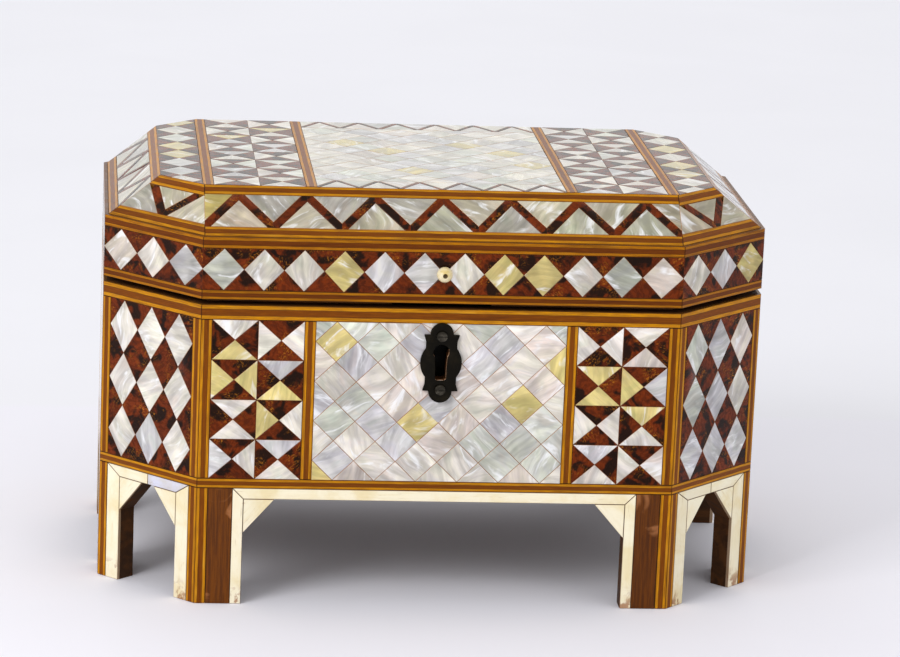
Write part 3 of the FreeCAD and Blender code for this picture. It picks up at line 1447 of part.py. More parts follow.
FLY_Y = f"({TRAIN_Y} + fly_module * {TRAIN_WHEEL_TEETH + FLY_PINION_TEETH} / 2)"


def toothed(teeth, pitch_radius, addendum, dedendum, ends, axis_y, lead):
    """A wheel along X whose tooth, or gap, nearest the +Y side is set by lead in tooth steps."""
    step = 2 * math.pi / teeth
    half = TOOTH_SHARE * step / 2
    outline = []
    for index in range(teeth):
        angle = (index + lead) * step
        for share, radius in ((-ROOT_FLARE, -dedendum), (-1, 0), (-TIP_TAPER, addendum),
                              (TIP_TAPER, addendum), (1, 0), (ROOT_FLARE, -dedendum)):
            outline.append(polar(pitch_radius + radius, angle + share * half))
    low, high = value(ends[0]), value(ends[1])
    points = [FreeCAD.Vector(low, value(axis_y) + flat.x, value(AXIS_Z) + flat.y) for flat in outline]
    return prism(points, FreeCAD.Vector(high - low, 0, 0))


def module_wheel(teeth, module, ends, axis_y, lead):
    size = value(module)
    return toothed(teeth, size * teeth / 2, ADDENDUM * size, DEDENDUM * size, ends, axis_y, lead)


# A tooth of the drive pinion points straight down into a gap of the crown.
drive_addendum = value("crown_addendum")
drive_dedendum = drive_addendum + value("tooth_bottom_gap")
drive_pinion = toothed(DRIVE_PINION_TEETH, value(DRIVE_RADIUS), drive_addendum, drive_dedendum, PINION_X, "0",
                       DRIVE_PINION_TEETH * DOWNWARD)
shaft = rod("cylinder_shaft_bar", "x", "cylinder_shaft", PINION_X[0], PLATE_X[1], AXIS)
node(fused("cylinder_shaft_pinion", [shaft, solid_feature("drive_pinion", drive_pinion)]), "cylinder_arbor")

tube_blank = rod("tube_blank", "x", "cylinder_radius", *CYLINDER_X, AXIS)
tube_hollow = rod("tube_hollow", "x", "cylinder_radius - cylinder_wall", f"{CYLINDER_X[0]} + cylinder_wall",
                  f"{CYLINDER_X[1]} - cylinder_wall", AXIS)
tube_bore = rod("tube_bore", "x", "cylinder_shaft", f"{CYLINDER_X[0]} - overcut",
                f"{CYLINDER_X[1]} + overcut", AXIS)
node(less("tube", tube_blank, [tube_hollow, tube_bore]), "cylinder_tube")

COMB_LEFT = f"({CYLINDER_X[0]} + cylinder_length / 2 - comb_pitch * {COMB_TEETH} / 2)"
PIN_STRIDE = 0.381966


def pin_places():
    """Tracks under the comb teeth, with pins spread round the cylinder by a steady stride."""
    for track in range(COMB_TEETH):
        x = value(COMB_LEFT) + (track + 0.5) * value("comb_pitch")
        for index in range(PINS_PER_TRACK):
            yield x, 2 * math.pi * (index / PINS_PER_TRACK + track * PIN_STRIDE)


def pin_shape(x, angle):
    root = value("cylinder_radius - cylinder_wall / 2")
    out = FreeCAD.Vector(0, math.cos(angle), math.sin(angle))
    start = FreeCAD.Vector(x, 0, value(AXIS_Z)) + out * root
    return Part.makeCylinder(value("pin_radius"), value("cylinder_wall / 2 + pin_proud"), start, out)


pins = solid_feature("pins", Part.makeCompound([pin_shape(x, angle) for x, angle in pin_places()]))
node(pins, "cylinder_pins")

CROSSINGS = 5


def crossed(wheel, ends, axis_y, bore, rim, hub):
    """A wheel with its bore and round crossings."""
    low, high = value(ends[0]), value(ends[1])
    along = FreeCAD.Vector(1, 0, 0)
    middle = FreeCAD.Vector(low, value(axis_y), value(AXIS_Z))
    cuts = [Part.makeCylinder(bore, high - low, middle, along)]
    for index in range(CROSSINGS):
        angle = 2 * math.pi * (index + 0.5) / CROSSINGS
        out = FreeCAD.Vector(0, math.cos(angle), math.sin(angle)) * ((rim + hub) / 2)
        cuts.append(Part.makeCylinder((rim - hub) / 2, high - low, middle + out, along))
    return wheel.cut(Part.makeCompound(cuts))


wheel_root = value(f"wheel_module * ({WHEEL_TEETH} / 2 - {RIM_MODULES})")
wheel = crossed(module_wheel(WHEEL_TEETH, "wheel_module", WHEEL_X, "0", 0), WHEEL_X, "0",
                value("cylinder_shaft"), wheel_root, value("wheel_hub_radius"))
node(solid_feature("great_wheel", wheel), "cylinder_wheel")


# Bearing post, train plates, train arbor and fly
PLATE_HEIGHT = (BED_TOP, f"{AXIS_Z} + plate_reach")
post_blank = block("post_blank", POST_X, ("-plate_reach", "plate_reach"), PLATE_HEIGHT)
post_bore = rod("post_bore", "x", "cylinder_shaft + bearing_clearance", f"{POST_X[0]} - overcut",
                f"{POST_X[1]} + overcut", AXIS)
node(less("post", post_blank, [post_bore]), "bearing_post")

TRAIN_AXIS = (TRAIN_Y, AXIS_Z)
FLY_AXIS = (FLY_Y, AXIS_Z)


def train_plate(name, ends, first_y, bores):
    span = (f"{first_y} - plate_reach", f"{FLY_Y} + pillar_radius")
    blank = block(name + "_blank", ends, span, PLATE_HEIGHT)
    cut = (f"{ends[0]} - overcut", f"{ends[1]} + overcut")
    cuts = [rod(f"{name}_bore{index}", "x", f"{radius} + bearing_clearance", *cut, place)
            for index, (radius, place) in enumerate(bores)]
    return less(name, blank, cuts)


train_bores = [("train_shaft", TRAIN_AXIS), ("fly_shaft", FLY_AXIS)]
inner_plate = train_plate("inner_plate", PLATE_X, "0", [("cylinder_shaft", AXIS)] + train_bores)
outer_plate = train_plate("outer_plate", OUTER_PLATE_X, TRAIN_Y, train_bores)
node(group("train_plate_pair", [inner_plate, outer_plate]), "train_plates")

# A gap of the pinion faces the tooth of the wheel that drives it.
train_bar = rod("train_bar", "x", "train_shaft", f"{WHEEL_X[0]} - end_gap / 2", OUTER_PLATE_X[1], TRAIN_AXIS)
train_pinion = module_wheel(TRAIN_PINION_TEETH, "wheel_module", WHEEL_X, TRAIN_Y, HALF_STEP)
train_wheel = module_wheel(TRAIN_WHEEL_TEETH, "fly_module", OUTER_WHEEL_X, TRAIN_Y, 0)
node(fused("train_set", [train_bar, solid_feature("train_pinion", train_pinion),
                         solid_feature("train_wheel", train_wheel)]), "train_arbor")

BRAKE_X = (f"({PLATE_X[0]} - end_gap * 2 - brake_drum_length)", f"({PLATE_X[0]} - end_gap * 2)")
VANE_X = (f"({BRAKE_X[0]} - end_gap - fly_length)", f"({BRAKE_X[0]} - end_gap)")
fly_bar = rod("fly_bar", "x", "fly_shaft", VANE_X[0], OUTER_PLATE_X[1], FLY_AXIS)
brake_drum = rod("brake_drum", "x", "brake_drum_radius", *BRAKE_X, FLY_AXIS)
fly_pinion = module_wheel(FLY_PINION_TEETH, "fly_module", OUTER_WHEEL_X, FLY_Y, HALF_STEP)
node(fused("fly_set", [fly_bar, brake_drum, solid_feature("fly_pinion", fly_pinion)]), "fly_arbor")
vane_blank = block("vane_blank", VANE_X, (f"{FLY_Y} - fly_radius", f"{FLY_Y} + fly_radius"),
                   (f"{AXIS_Z} - fly_vane_thick / 2", f"{AXIS_Z} + fly_vane_thick / 2"))
vane_bore = rod("vane_bore", "x", "fly_shaft", f"{VANE_X[0]} - overcut", f"{VANE_X[1]} + overcut", FLY_AXIS)
node(less("vanes", vane_blank, [vane_bore]), "fly_vanes")


# Comb, its base and its screws
COMB_TIP = "(cylinder_radius + pin_proud + comb_tip_gap)"
COMB_BACK = f"({COMB_TIP} + comb_reach_bass + comb_heel)"
COMB_LOW = f"({AXIS_Z} - comb_thick / 2)"
COMB_HIGH = f"({AXIS_Z} + comb_thick / 2)"
COMB_SCREWS = 4


def comb_outline():
    """Teeth from bass to treble, shorter as they go, on one heel."""
    left = value(COMB_LEFT)
    pitch = value("comb_pitch")
    slot = value("comb_slot")
    tip = -value(COMB_TIP)
    back = -value(COMB_BACK)
    points = [(left, back), (left + COMB_TEETH * pitch, back)]
    for index in reversed(range(COMB_TEETH)):
        share = index / (COMB_TEETH - 1)
        reach = value("comb_reach_bass") + share * value("comb_reach_treble - comb_reach_bass")
        near = left + index * pitch + slot / 2
        far = left + (index + 1) * pitch - slot / 2
        points += [(far, tip - reach), (far, tip), (near, tip), (near, tip - reach)]
    return [FreeCAD.Vector(x, y, value(COMB_LOW)) for x, y in points]


comb_blank = solid_feature("comb_blank", prism(comb_outline(), FreeCAD.Vector(0, 0, value("comb_thick"))))
COMB_X = (COMB_LEFT, f"({COMB_LEFT} + comb_pitch * {COMB_TEETH})")
SCREW_Y = f"(-{COMB_BACK} + comb_heel / 2)"
comb_screw_places = [(f"({COMB_LEFT} + comb_pitch * {COMB_TEETH} * {index + 0.5} / {COMB_SCREWS})", SCREW_Y)
                     for index in range(COMB_SCREWS)]
COMB_SCREW_TIP = f"({COMB_HIGH} - comb_screw_length)"


def comb_holes(name):
    cut = (f"{COMB_SCREW_TIP} - bearing_clearance", f"{COMB_HIGH} + overcut")
    return [rod(f"{name}{index}", "z", SCREW_CLEAR, *cut, place)
            for index, place in enumerate(comb_screw_places)]


node(less("comb_plate", comb_blank, comb_holes("comb_hole")), "comb")
base_blank = block("comb_base_blank", COMB_X, (f"-{COMB_BACK}", f"-{COMB_BACK} + comb_heel - end_gap"),
                   (BED_TOP, COMB_LOW))
node(less("comb_block", base_blank, comb_holes("comb_base_hole")), "comb_base")
movement_screws += [screw(f"comb_screw{index}", place, COMB_HIGH, COMB_SCREW_TIP, "+")
                    for index, place in enumerate(comb_screw_places)]
node(group("movement_screw_set", movement_screws), "movement_screws")


# Partition, glazed cover of the movement and the lid-worked stop rod
PARTITION_X = (f"({BED_RIGHT} + partition_gap)", f"({BED_RIGHT} + partition_gap + partition_thick)")
GLASS_LOW = f"({AXIS_Z} + wheel_module * ({WHEEL_TEETH} / 2 + 1) + cover_clear)"
GLASS_HIGH = f"({GLASS_LOW} + glass_thick)"
LEDGE_LOW = f"({GLASS_LOW} - cover_ledge)"
LINING_Y = f"(depth / 2 - {LINING_IN})"
node(block("partition", PARTITION_X, (f"-{LINING_Y}", LINING_Y), (BASE_TOP, GLASS_LOW)), "partition_board")

FRAME_IN = f"({LINING_IN} + back_rail_depth)"
LIP_IN = f"({FRAME_IN} + cover_ledge)"
COVER_CUT = (f"{LEDGE_LOW} - overcut", f"{GLASS_HIGH} + overcut")
beyond = block("beyond_partition", (PARTITION_X[0], "width / 2"), ("-depth / 2", "depth / 2"), COVER_CUT)
STOP_X = f"(({BRAKE_X[0]} + {BRAKE_X[1]}) / 2)"
STOP_Y = f"({LINING_Y} - back_rail_depth / 2)"


def around(middle, size):
    return (f"{middle} - ({size}) / 2", f"{middle} + ({size}) / 2")


ROD_WAY = "stop_rod_size + 2 * slide_clearance"
rod_hole = block("stop_rod_hole", around(STOP_X, ROD_WAY), around(STOP_Y, ROD_WAY), COVER_CUT)
frame_lock_notch = block("frame_lock_notch", shrunk(LOCK_X, "-slide_clearance"),
                         (f"-{LINING_Y} - overcut", f"{LOCK_Y[1]} + slide_clearance"), COVER_CUT)


def frame_rail(side, cuts):
    """A rail of the cover frame with the ledge that carries the glass."""
    name = "cover_" + side
    upper = side_board(name + "_upper", side, LINING_IN, FRAME_IN, GLASS_LOW, GLASS_HIGH)
    lower = side_board(name + "_lower", side, LINING_IN, LIP_IN, LEDGE_LOW, GLASS_LOW)
    rail = fused(name, [upper, lower])
    return less(name + "_cut", rail, cuts) if cuts else rail


cover_rails = [
    frame_rail("left", []), frame_rail("front_left", []), frame_rail("back_left", []),
    frame_rail("front", [beyond, frame_lock_notch]), frame_rail("back", [beyond, rod_hole]),
]
node(group("cover_frame_set", cover_rails), "cover_frame")

PANE_IN = f"({FRAME_IN} + slide_clearance)"
pane_blank = padded("pane_blank", octagon(PANE_IN), GLASS_LOW, GLASS_HIGH)
pane_beyond = block("pane_beyond", (PARTITION_X[1], "width / 2"), ("-depth / 2", "depth / 2"),
                    (f"{GLASS_LOW} - overcut", f"{GLASS_HIGH} + overcut"))
node(less("pane", pane_blank, [pane_beyond]), "cover_glass")

STOP_FOOT = f"({AXIS_Z} + brake_drum_radius + stop_clearance)"
ROD_X = around(STOP_X, "stop_rod_size")
ROD_Y = around(STOP_Y, "stop_rod_size")
stop_post = block("stop_post", ROD_X, ROD_Y, (STOP_FOOT, f"{LID_FOOT} - stop_clearance"))
stop_arm = block("stop_arm", ROD_X, (f"{FLY_Y} - stop_rod_size / 2", ROD_Y[1]),
                 (STOP_FOOT, f"{STOP_FOOT} + stop_rod_size"))
node(fused("stop", [stop_post, stop_arm]), "stop_rod")
STRIKER_BACK = f"(depth / 2 - {LID_RAIL_IN})"
striker = block("striker", around(STOP_X, "striker_size"), (f"{STRIKER_BACK} - striker_size", STRIKER_BACK),
                (LID_FOOT, f"{LID_FOOT} + striker_size"))
node(striker, "stop_striker")


# Check every object, then write each sub-part
doc.recompute()
for obj in doc.Objects:
    if "Invalid" in obj.State or "Error" in obj.State:
        raise RuntimeError(f"{obj.Name} failed: {obj.State}")
for obj in nodes:
    if obj.Shape.isNull() or not obj.Shape.isValid():
        raise RuntimeError(f"{obj.Label} has no valid shape")
os.makedirs("parts", exist_ok=True)
for obj in nodes:
    obj.Shape.exportStep(f"parts/{obj.Label}.step")
    print(obj.Label, len(obj.Shape.Solids), round(obj.Shape.Volume, 1))
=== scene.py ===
import json
import random
from math import cos, pi, radians, sin

import bpy
from bpy.props import FloatProperty, FloatVectorProperty, PointerProperty
from mathutils import Matrix, Vector

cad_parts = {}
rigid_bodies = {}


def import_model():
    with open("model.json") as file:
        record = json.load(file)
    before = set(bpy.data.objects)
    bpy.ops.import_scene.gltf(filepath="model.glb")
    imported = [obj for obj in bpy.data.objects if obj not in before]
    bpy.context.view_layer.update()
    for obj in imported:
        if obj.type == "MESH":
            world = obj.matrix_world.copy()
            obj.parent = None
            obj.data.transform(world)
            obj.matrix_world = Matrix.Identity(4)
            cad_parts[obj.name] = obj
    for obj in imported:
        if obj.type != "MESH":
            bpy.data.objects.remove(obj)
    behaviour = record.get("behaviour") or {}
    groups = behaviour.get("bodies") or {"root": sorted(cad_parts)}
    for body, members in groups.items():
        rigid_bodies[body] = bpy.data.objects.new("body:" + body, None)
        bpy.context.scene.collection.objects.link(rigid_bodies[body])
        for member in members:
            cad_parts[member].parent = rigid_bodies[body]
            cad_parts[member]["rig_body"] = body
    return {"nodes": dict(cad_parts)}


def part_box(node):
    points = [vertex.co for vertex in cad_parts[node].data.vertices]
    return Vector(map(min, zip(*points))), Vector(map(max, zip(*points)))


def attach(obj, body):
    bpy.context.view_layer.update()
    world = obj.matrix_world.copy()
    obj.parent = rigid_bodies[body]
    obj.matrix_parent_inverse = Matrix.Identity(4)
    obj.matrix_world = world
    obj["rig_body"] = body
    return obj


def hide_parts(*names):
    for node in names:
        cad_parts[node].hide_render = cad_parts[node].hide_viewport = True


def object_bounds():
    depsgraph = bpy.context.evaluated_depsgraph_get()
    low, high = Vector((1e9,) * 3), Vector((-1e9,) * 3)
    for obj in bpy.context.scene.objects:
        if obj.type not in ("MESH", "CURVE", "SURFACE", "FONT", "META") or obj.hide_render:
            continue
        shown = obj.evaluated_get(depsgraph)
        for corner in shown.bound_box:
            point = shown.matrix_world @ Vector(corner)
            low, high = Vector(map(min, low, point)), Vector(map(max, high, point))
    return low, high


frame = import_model()
cad_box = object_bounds()

bl_info = {
    "name": "Inlaid Music Box",
    "version": (1, 0, 0),
    "blender": (4, 5, 0),
    "location": "View3D > Sidebar > Music Box",
    "description": "Dresses an octagonal music box with pearl, tortoiseshell, stringing and bone",
    "category": "Object",
}

MIDDLE = (cad_box[0] + cad_box[1]) / 2

# Distances in metres
MERGE = 1e-6  # corners this near are one
IN_PLANE = 1e-5  # faces this near lie in one plane
ARRIS_REACH = 0.0012  # a corner of a tile this near an arris belongs on it
TILE_REACH = 0.004  # a tile is the one that is meant if its middle is this near
LID_FOOT = 0.14  # the lid begins at this height

# How far a face turns to an axis, as the cosine of the angle between them
SAME_WAY, STRAIGHT, TURNED, SLOPED, UPRIGHT = 0.999, 0.9, 0.3, 0.2, 0.1

ARRIS_PULL = 0.9  # share of the way to the arris that a corner is drawn
LEAN_LIMIT = 1.8  # just longer than a lean can be, so that no corner stands proud
GRAIN_SCALE = 100  # steps of grain in a metre
GRAIN_START = 40  # a tile's grain starts anywhere in so many steps

# Sockets of a Mix node that mixes colours
MIX_FACTOR, MIX_ONE, MIX_OTHER, MIX_RESULT = 0, 6, 7, 2

# Tints of the pearl along its turning colour
PEARL_TURNS = ((0.3, (222, 234, 222)), (0.43, (255, 252, 244)), (0.57, (234, 231, 246)),
               (0.7, (246, 226, 228)))
# Shares of the white, lilac, rose and green pearl
PEARL_MIX = (9, 4, 2, 2)
PEARL_UNEVEN, GOLD_UNEVEN = 0.15, 0.07
GOLD_CHANCE = 0.09  # share of golden tiles on the sides that the photo doesn't show

# Painted shade: how much of its colour the pearl keeps by its place, so that the slopes, top and
# corners are shaded copies of the walls; the lid walls are kept darker too
PEARL_PAINTED_SHADE = {
    "slope": (0.65, 0.63, 0.54),
    "top": (0.86, 0.86, 0.83),
    "lid_wall": (0.79, 0.79, 0.77),
    "corner": (0.85, 0.86, 0.87),
    "wall": (0.95, 0.95, 0.96),
}
# Tones of the other tiles, and by how much of it one tile differs from another
SHELL_TONE, SHELL_UNEVEN = (0.95, 0.95, 0.95), 0.25
STRIP_TONE, LID_WALL_STRIP_TONE, STRIP_UNEVEN = (0.98, 0.97, 0.92), (0.68, 0.6, 0.4), 0.1
BONE_TONE, BLUE_BONE_TONE, BONE_UNEVEN = (0.98, 0.97, 0.95), (0.72, 0.79, 1.25), 0.05
LEG_TONE, LEG_UNEVEN = (0.95, 0.93, 0.9), 0.15

# From the middle of a strip to the seam of its brown and yellow lines, as a share of its width
STRIP_SEAM, SEAM_BLUR = 0.245, 0.02

# Golden tiles of the front and lid, by the place of their middles in mm
GOLDEN = (
    (-46.7, -101.9, 122.2), (-9.3, -101.9, 85.7), (37.3, -101.9, 94.9), (-52.9, -101.9, 61.4),
    (52.8, -101.9, 113.1), (-91.8, -101.9, 116.2), (-98.5, -101.9, 104.0), (-85.0, -101.9, 104.0),
    (-71.3, -101.9, 98.0), (-78.0, -101.9, 85.7), (71.3, -101.9, 110.0), (71.3, -101.9, 98.0),
    (85.0, -101.9, 104.0), (91.8, -101.9, 91.7), (-44.3, -101.9, 154.1), (26.6, -101.9, 154.1),
    (44.3, -101.9, 154.1), (142.5, -66.4, 154.1), (-102.2, -85.6, 180.5), (-116.2, 9.7, 187.1),
    (-116.2, -9.7, 187.1), (-113.9, 65.3, 187.1), (-71.3, 54.8, 187.1), (-91.7, 35.4, 187.1),
    (116.3, 29.1, 187.1), (116.2, -9.7, 187.1), (116.3, -29.1, 187.1), (-37.3, 26.8, 187.1),
    (-18.7, 8.9, 187.1), (18.7, 26.8, 187.1), (-9.3, -35.7, 187.1), (37.3, 8.9, 187.1),
    (46.7, -17.9, 187.1),
)
# The one bluish strip of bone, by the place of its middle in mm
BLUE_APRON = (-121.0, -87.9, 51.5)

# Lamps: name, place, aim, size in metres and power in watts
LAMPS = (
    ("key_lamp", (-1.2, -1.15, 1.1), (0, 0, 0.1), 0.8, 15.0),
    ("fill_lamp", (1.3, -1.3, 0.9), (0, 0, 0.1), 1.2, 2.5),
    ("back_lamp", (0.0, 2.0, 1.8), (0, 1.6, 0), 1.5, 6.0),
)
# Strength of the world as a light, and where it is seen
WORLD_LIGHT, WORLD_SEEN = 0.78, 1.0
# Size of the sheet in metres, its cuts each way, and half the width of the line behind the box
PAPER_SIZE, PAPER_CUTS, PAPER_BLUR = 14, 3, 0.006

# The camera that matches the photo: metres, degrees, and mm for the sensor
CAMERA_PLACE = (-0.16564, -1.83185, 0.54876)
CAMERA_BEARING, CAMERA_DIP, CAMERA_ROLL = -5.583, 13.569, 2.41
SENSOR = 36


def srgb(red, green, blue):
    """A colour read on a screen, as the linear light that shaders use."""
    levels = [channel / 255 for channel in (red, green, blue)]
    return tuple(level / 12.92 if level < 0.04045 else ((level + 0.055) / 1.055) ** 2.4
                 for level in levels)


def colour(name, description, red, green, blue):
    return FloatVectorProperty(name=name, description=description, subtype="COLOR", size=3,
                               min=0, max=1, default=srgb(red, green, blue))


def length(name, description, metres):
    return FloatProperty(name=name, description=description, default=metres, unit="LENGTH",
                         precision=5)


class MusicBoxColours(bpy.types.PropertyGroup):
    pearl: colour("Pearl", "White mother of pearl", 232, 226, 213)
    lilac_pearl: colour("Lilac pearl", "Pearl that turns lilac", 210, 208, 207)
    rose_pearl: colour("Rose pearl", "Pearl that turns pink", 228, 217, 204)
    green_pearl: colour("Green pearl", "Pearl that turns grey green", 214, 216, 203)
    gold_pearl: colour("Gold pearl", "Pearl from the golden lip of the shell", 226, 208, 136)
    # Painted glints: streaks of reflected light laid into the pearl's colour
    pearl_painted_glint: colour("Pearl flare", "Bright flares in the pearl", 248, 249, 252)
    pearl_line: colour("Pearl line", "Fine growth lines of the pearl", 150, 138, 120)
    pearl_joint: colour("Pearl joint", "Glue line between pearl tiles", 172, 112, 54)
    shell: colour("Tortoiseshell", "Red brown ground of the shell", 116, 44, 3)
    shell_dark: colour("Shell mottle", "Black brown clouds in the shell", 22, 8, 0)
    shell_amber: colour("Shell amber", "Amber flecks in the shell", 178, 108, 22)
    shell_joint: colour("Shell joint", "Glue line between shell tiles", 104, 52, 24)
    line_yellow: colour("Yellow line", "Boxwood lines of the stringing", 216, 146, 0)
    line_yellow_dark: colour("Dark yellow line", "Fibres of the boxwood lines", 168, 108, 20)
    line_yellow_pale: colour("Pale yellow line", "Faded boxwood lines", 226, 174, 66)
    line_brown: colour("Brown line", "Middle line of the stringing", 114, 58, 2)
    line_brown_pale: colour("Pale brown line", "Fibres of the middle line", 140, 76, 4)
    line_dull: colour("Dull line", "Dirt rubbed into the stringing", 84, 40, 6)
    joint: colour("Joint", "Glue and dirt in the joints", 66, 34, 16)
    bone: colour("Bone", "Bone of the skirt and knob", 246, 238, 212)
    bone_aged: colour("Aged bone", "Yellowed bone", 232, 214, 164)
    bone_pore: colour("Bone pore", "Pores along the bone", 168, 134, 88)
    bone_stain: colour("Bone stain", "Stains at the feet", 150, 88, 42)
    bone_speck: colour("Bone speck", "Specks of dirt on the bone", 172, 128, 72)
    bone_joint: colour("Bone joint", "Glue line between strips of bone", 126, 84, 50)
    knob_aged: colour("Aged knob", "Yellowed bone of the knob", 214, 190, 122)
    knob_ring: colour("Knob ring", "Rings that the lathe left on the knob", 160, 126, 82)
    # Dark colour painted in the hollow at the tip of the knob
    dimple: colour("Knob dimple", "Dirt in the hollow of the knob", 62, 42, 24)
    leg_wood: colour("Leg wood", "Brown veneer of the legs", 112, 60, 12)
    leg_wood_dark: colour("Dark leg wood", "Dark grain of the leg veneer", 84, 44, 14)
    leg_wood_pale: colour("Pale leg wood", "Faded patches in the leg veneer", 174, 114, 70)
    leg_pore: colour("Leg pore", "Pores of the leg veneer", 58, 28, 10)
    case_wood: colour("Case wood", "Boards below the inlay", 82, 49, 22)
    lining_wood: colour("Lining wood", "Thin boards inside the case", 134, 86, 48)
    iron: colour("Black iron", "Blackened lock plate", 13, 10, 4)
    iron_worn: colour("Worn iron", "Rubbed patches of the lock plate", 27, 22, 12)
    plate_screw: colour("Plate screw", "Screws of the lock plate", 40, 36, 28)
    plate_screw_worn: colour("Worn plate screw", "Rubbed screws of the plate", 110, 104, 92)
    steel: colour("Steel", "Comb and arbors", 150, 147, 142)
    steel_worn: colour("Worn steel", "Rubbed comb and arbors", 196, 194, 190)
    screw: colour("Screw", "Screws of the movement", 128, 124, 118)
    screw_worn: colour("Worn screw", "Rubbed screws of the movement", 170, 167, 160)
    brass: colour("Brass", "Hinges, movement and key", 186, 146, 78)
    hinge_worn: colour("Worn hinge", "Rubbed brass of the hinges", 214, 178, 108)
    brass_worn: colour("Worn brass", "Rubbed brass of the movement", 222, 190, 120)
    key_worn: colour("Worn key", "Rubbed brass of the key", 206, 168, 96)
    bed: colour("Bedplate", "Painted iron bed of the movement", 52, 54, 50)
    bed_worn: colour("Worn bedplate", "Rubbed paint of the bed", 84, 86, 80)
    glass: colour("Glass", "Pane over the movement", 244, 250, 246)
    floor: colour("Floor", "Pale paper below the box", 244, 243, 251)
    backdrop: colour("Backdrop", "Pale paper behind the box", 243, 243, 249)


class MusicBoxSizes(bpy.types.PropertyGroup):
    tile_drop: length("Tile edge drop", "How far a tile's worn edge lies below its middle", 0.00012)
    tile_rim: length("Tile edge width", "Width of the worn edge round a tile", 0.0002)
    tile_grow: length("Tile spread", "How far a tile closes the joint round it", 0.00008)
    tile_tilt: length("Tile tilt", "How unevenly a tile is bedded", 0.00007)
    strip_drop: length("Strip edge drop", "How far a strip's edge lies below its middle", 0.0001)
    strip_rim: length("Strip edge width", "Width of the worn edge round a strip", 0.0003)
    knob_dimple: length("Knob dimple", "Radius of the hollow at the tip of the knob", 0.0011)
    metal_edge: length("Metal edge", "Softened edge of plates and screws", 0.0003)
    long_half: length("Front half", "Half the length of the front between its arrises", 0.107)
    end_half: length("End half", "Half the length of an end between its arrises", 0.059)
    paper_edge: length("Paper edge", "Where the pale floor turns into the backdrop", 0.24)
    lens: FloatProperty(name="Lens", description="Focal length of the camera in mm",
                        default=160.99)


def colours():
    return bpy.context.scene.music_box_colours


def sizes():
    return bpy.context.scene.music_box_sizes


# Shader helpers

def rgba(shade):
    return (*shade, 1.0)


def darker(shade, share):
    return [level * share for level in shade]


def add_node(tree, kind, inputs=None, **settings):
    """A shader node with its settings, and its sockets set or linked."""
    made = tree.nodes.new("ShaderNode" + kind)
    for key, amount in settings.items():
        setattr(made, key, amount)
    for socket, amount in (inputs or {}).items():
        if isinstance(amount, bpy.types.NodeSocket):
            tree.links.new(amount, made.inputs[socket])
        else:
            made.inputs[socket].default_value = amount
    return made


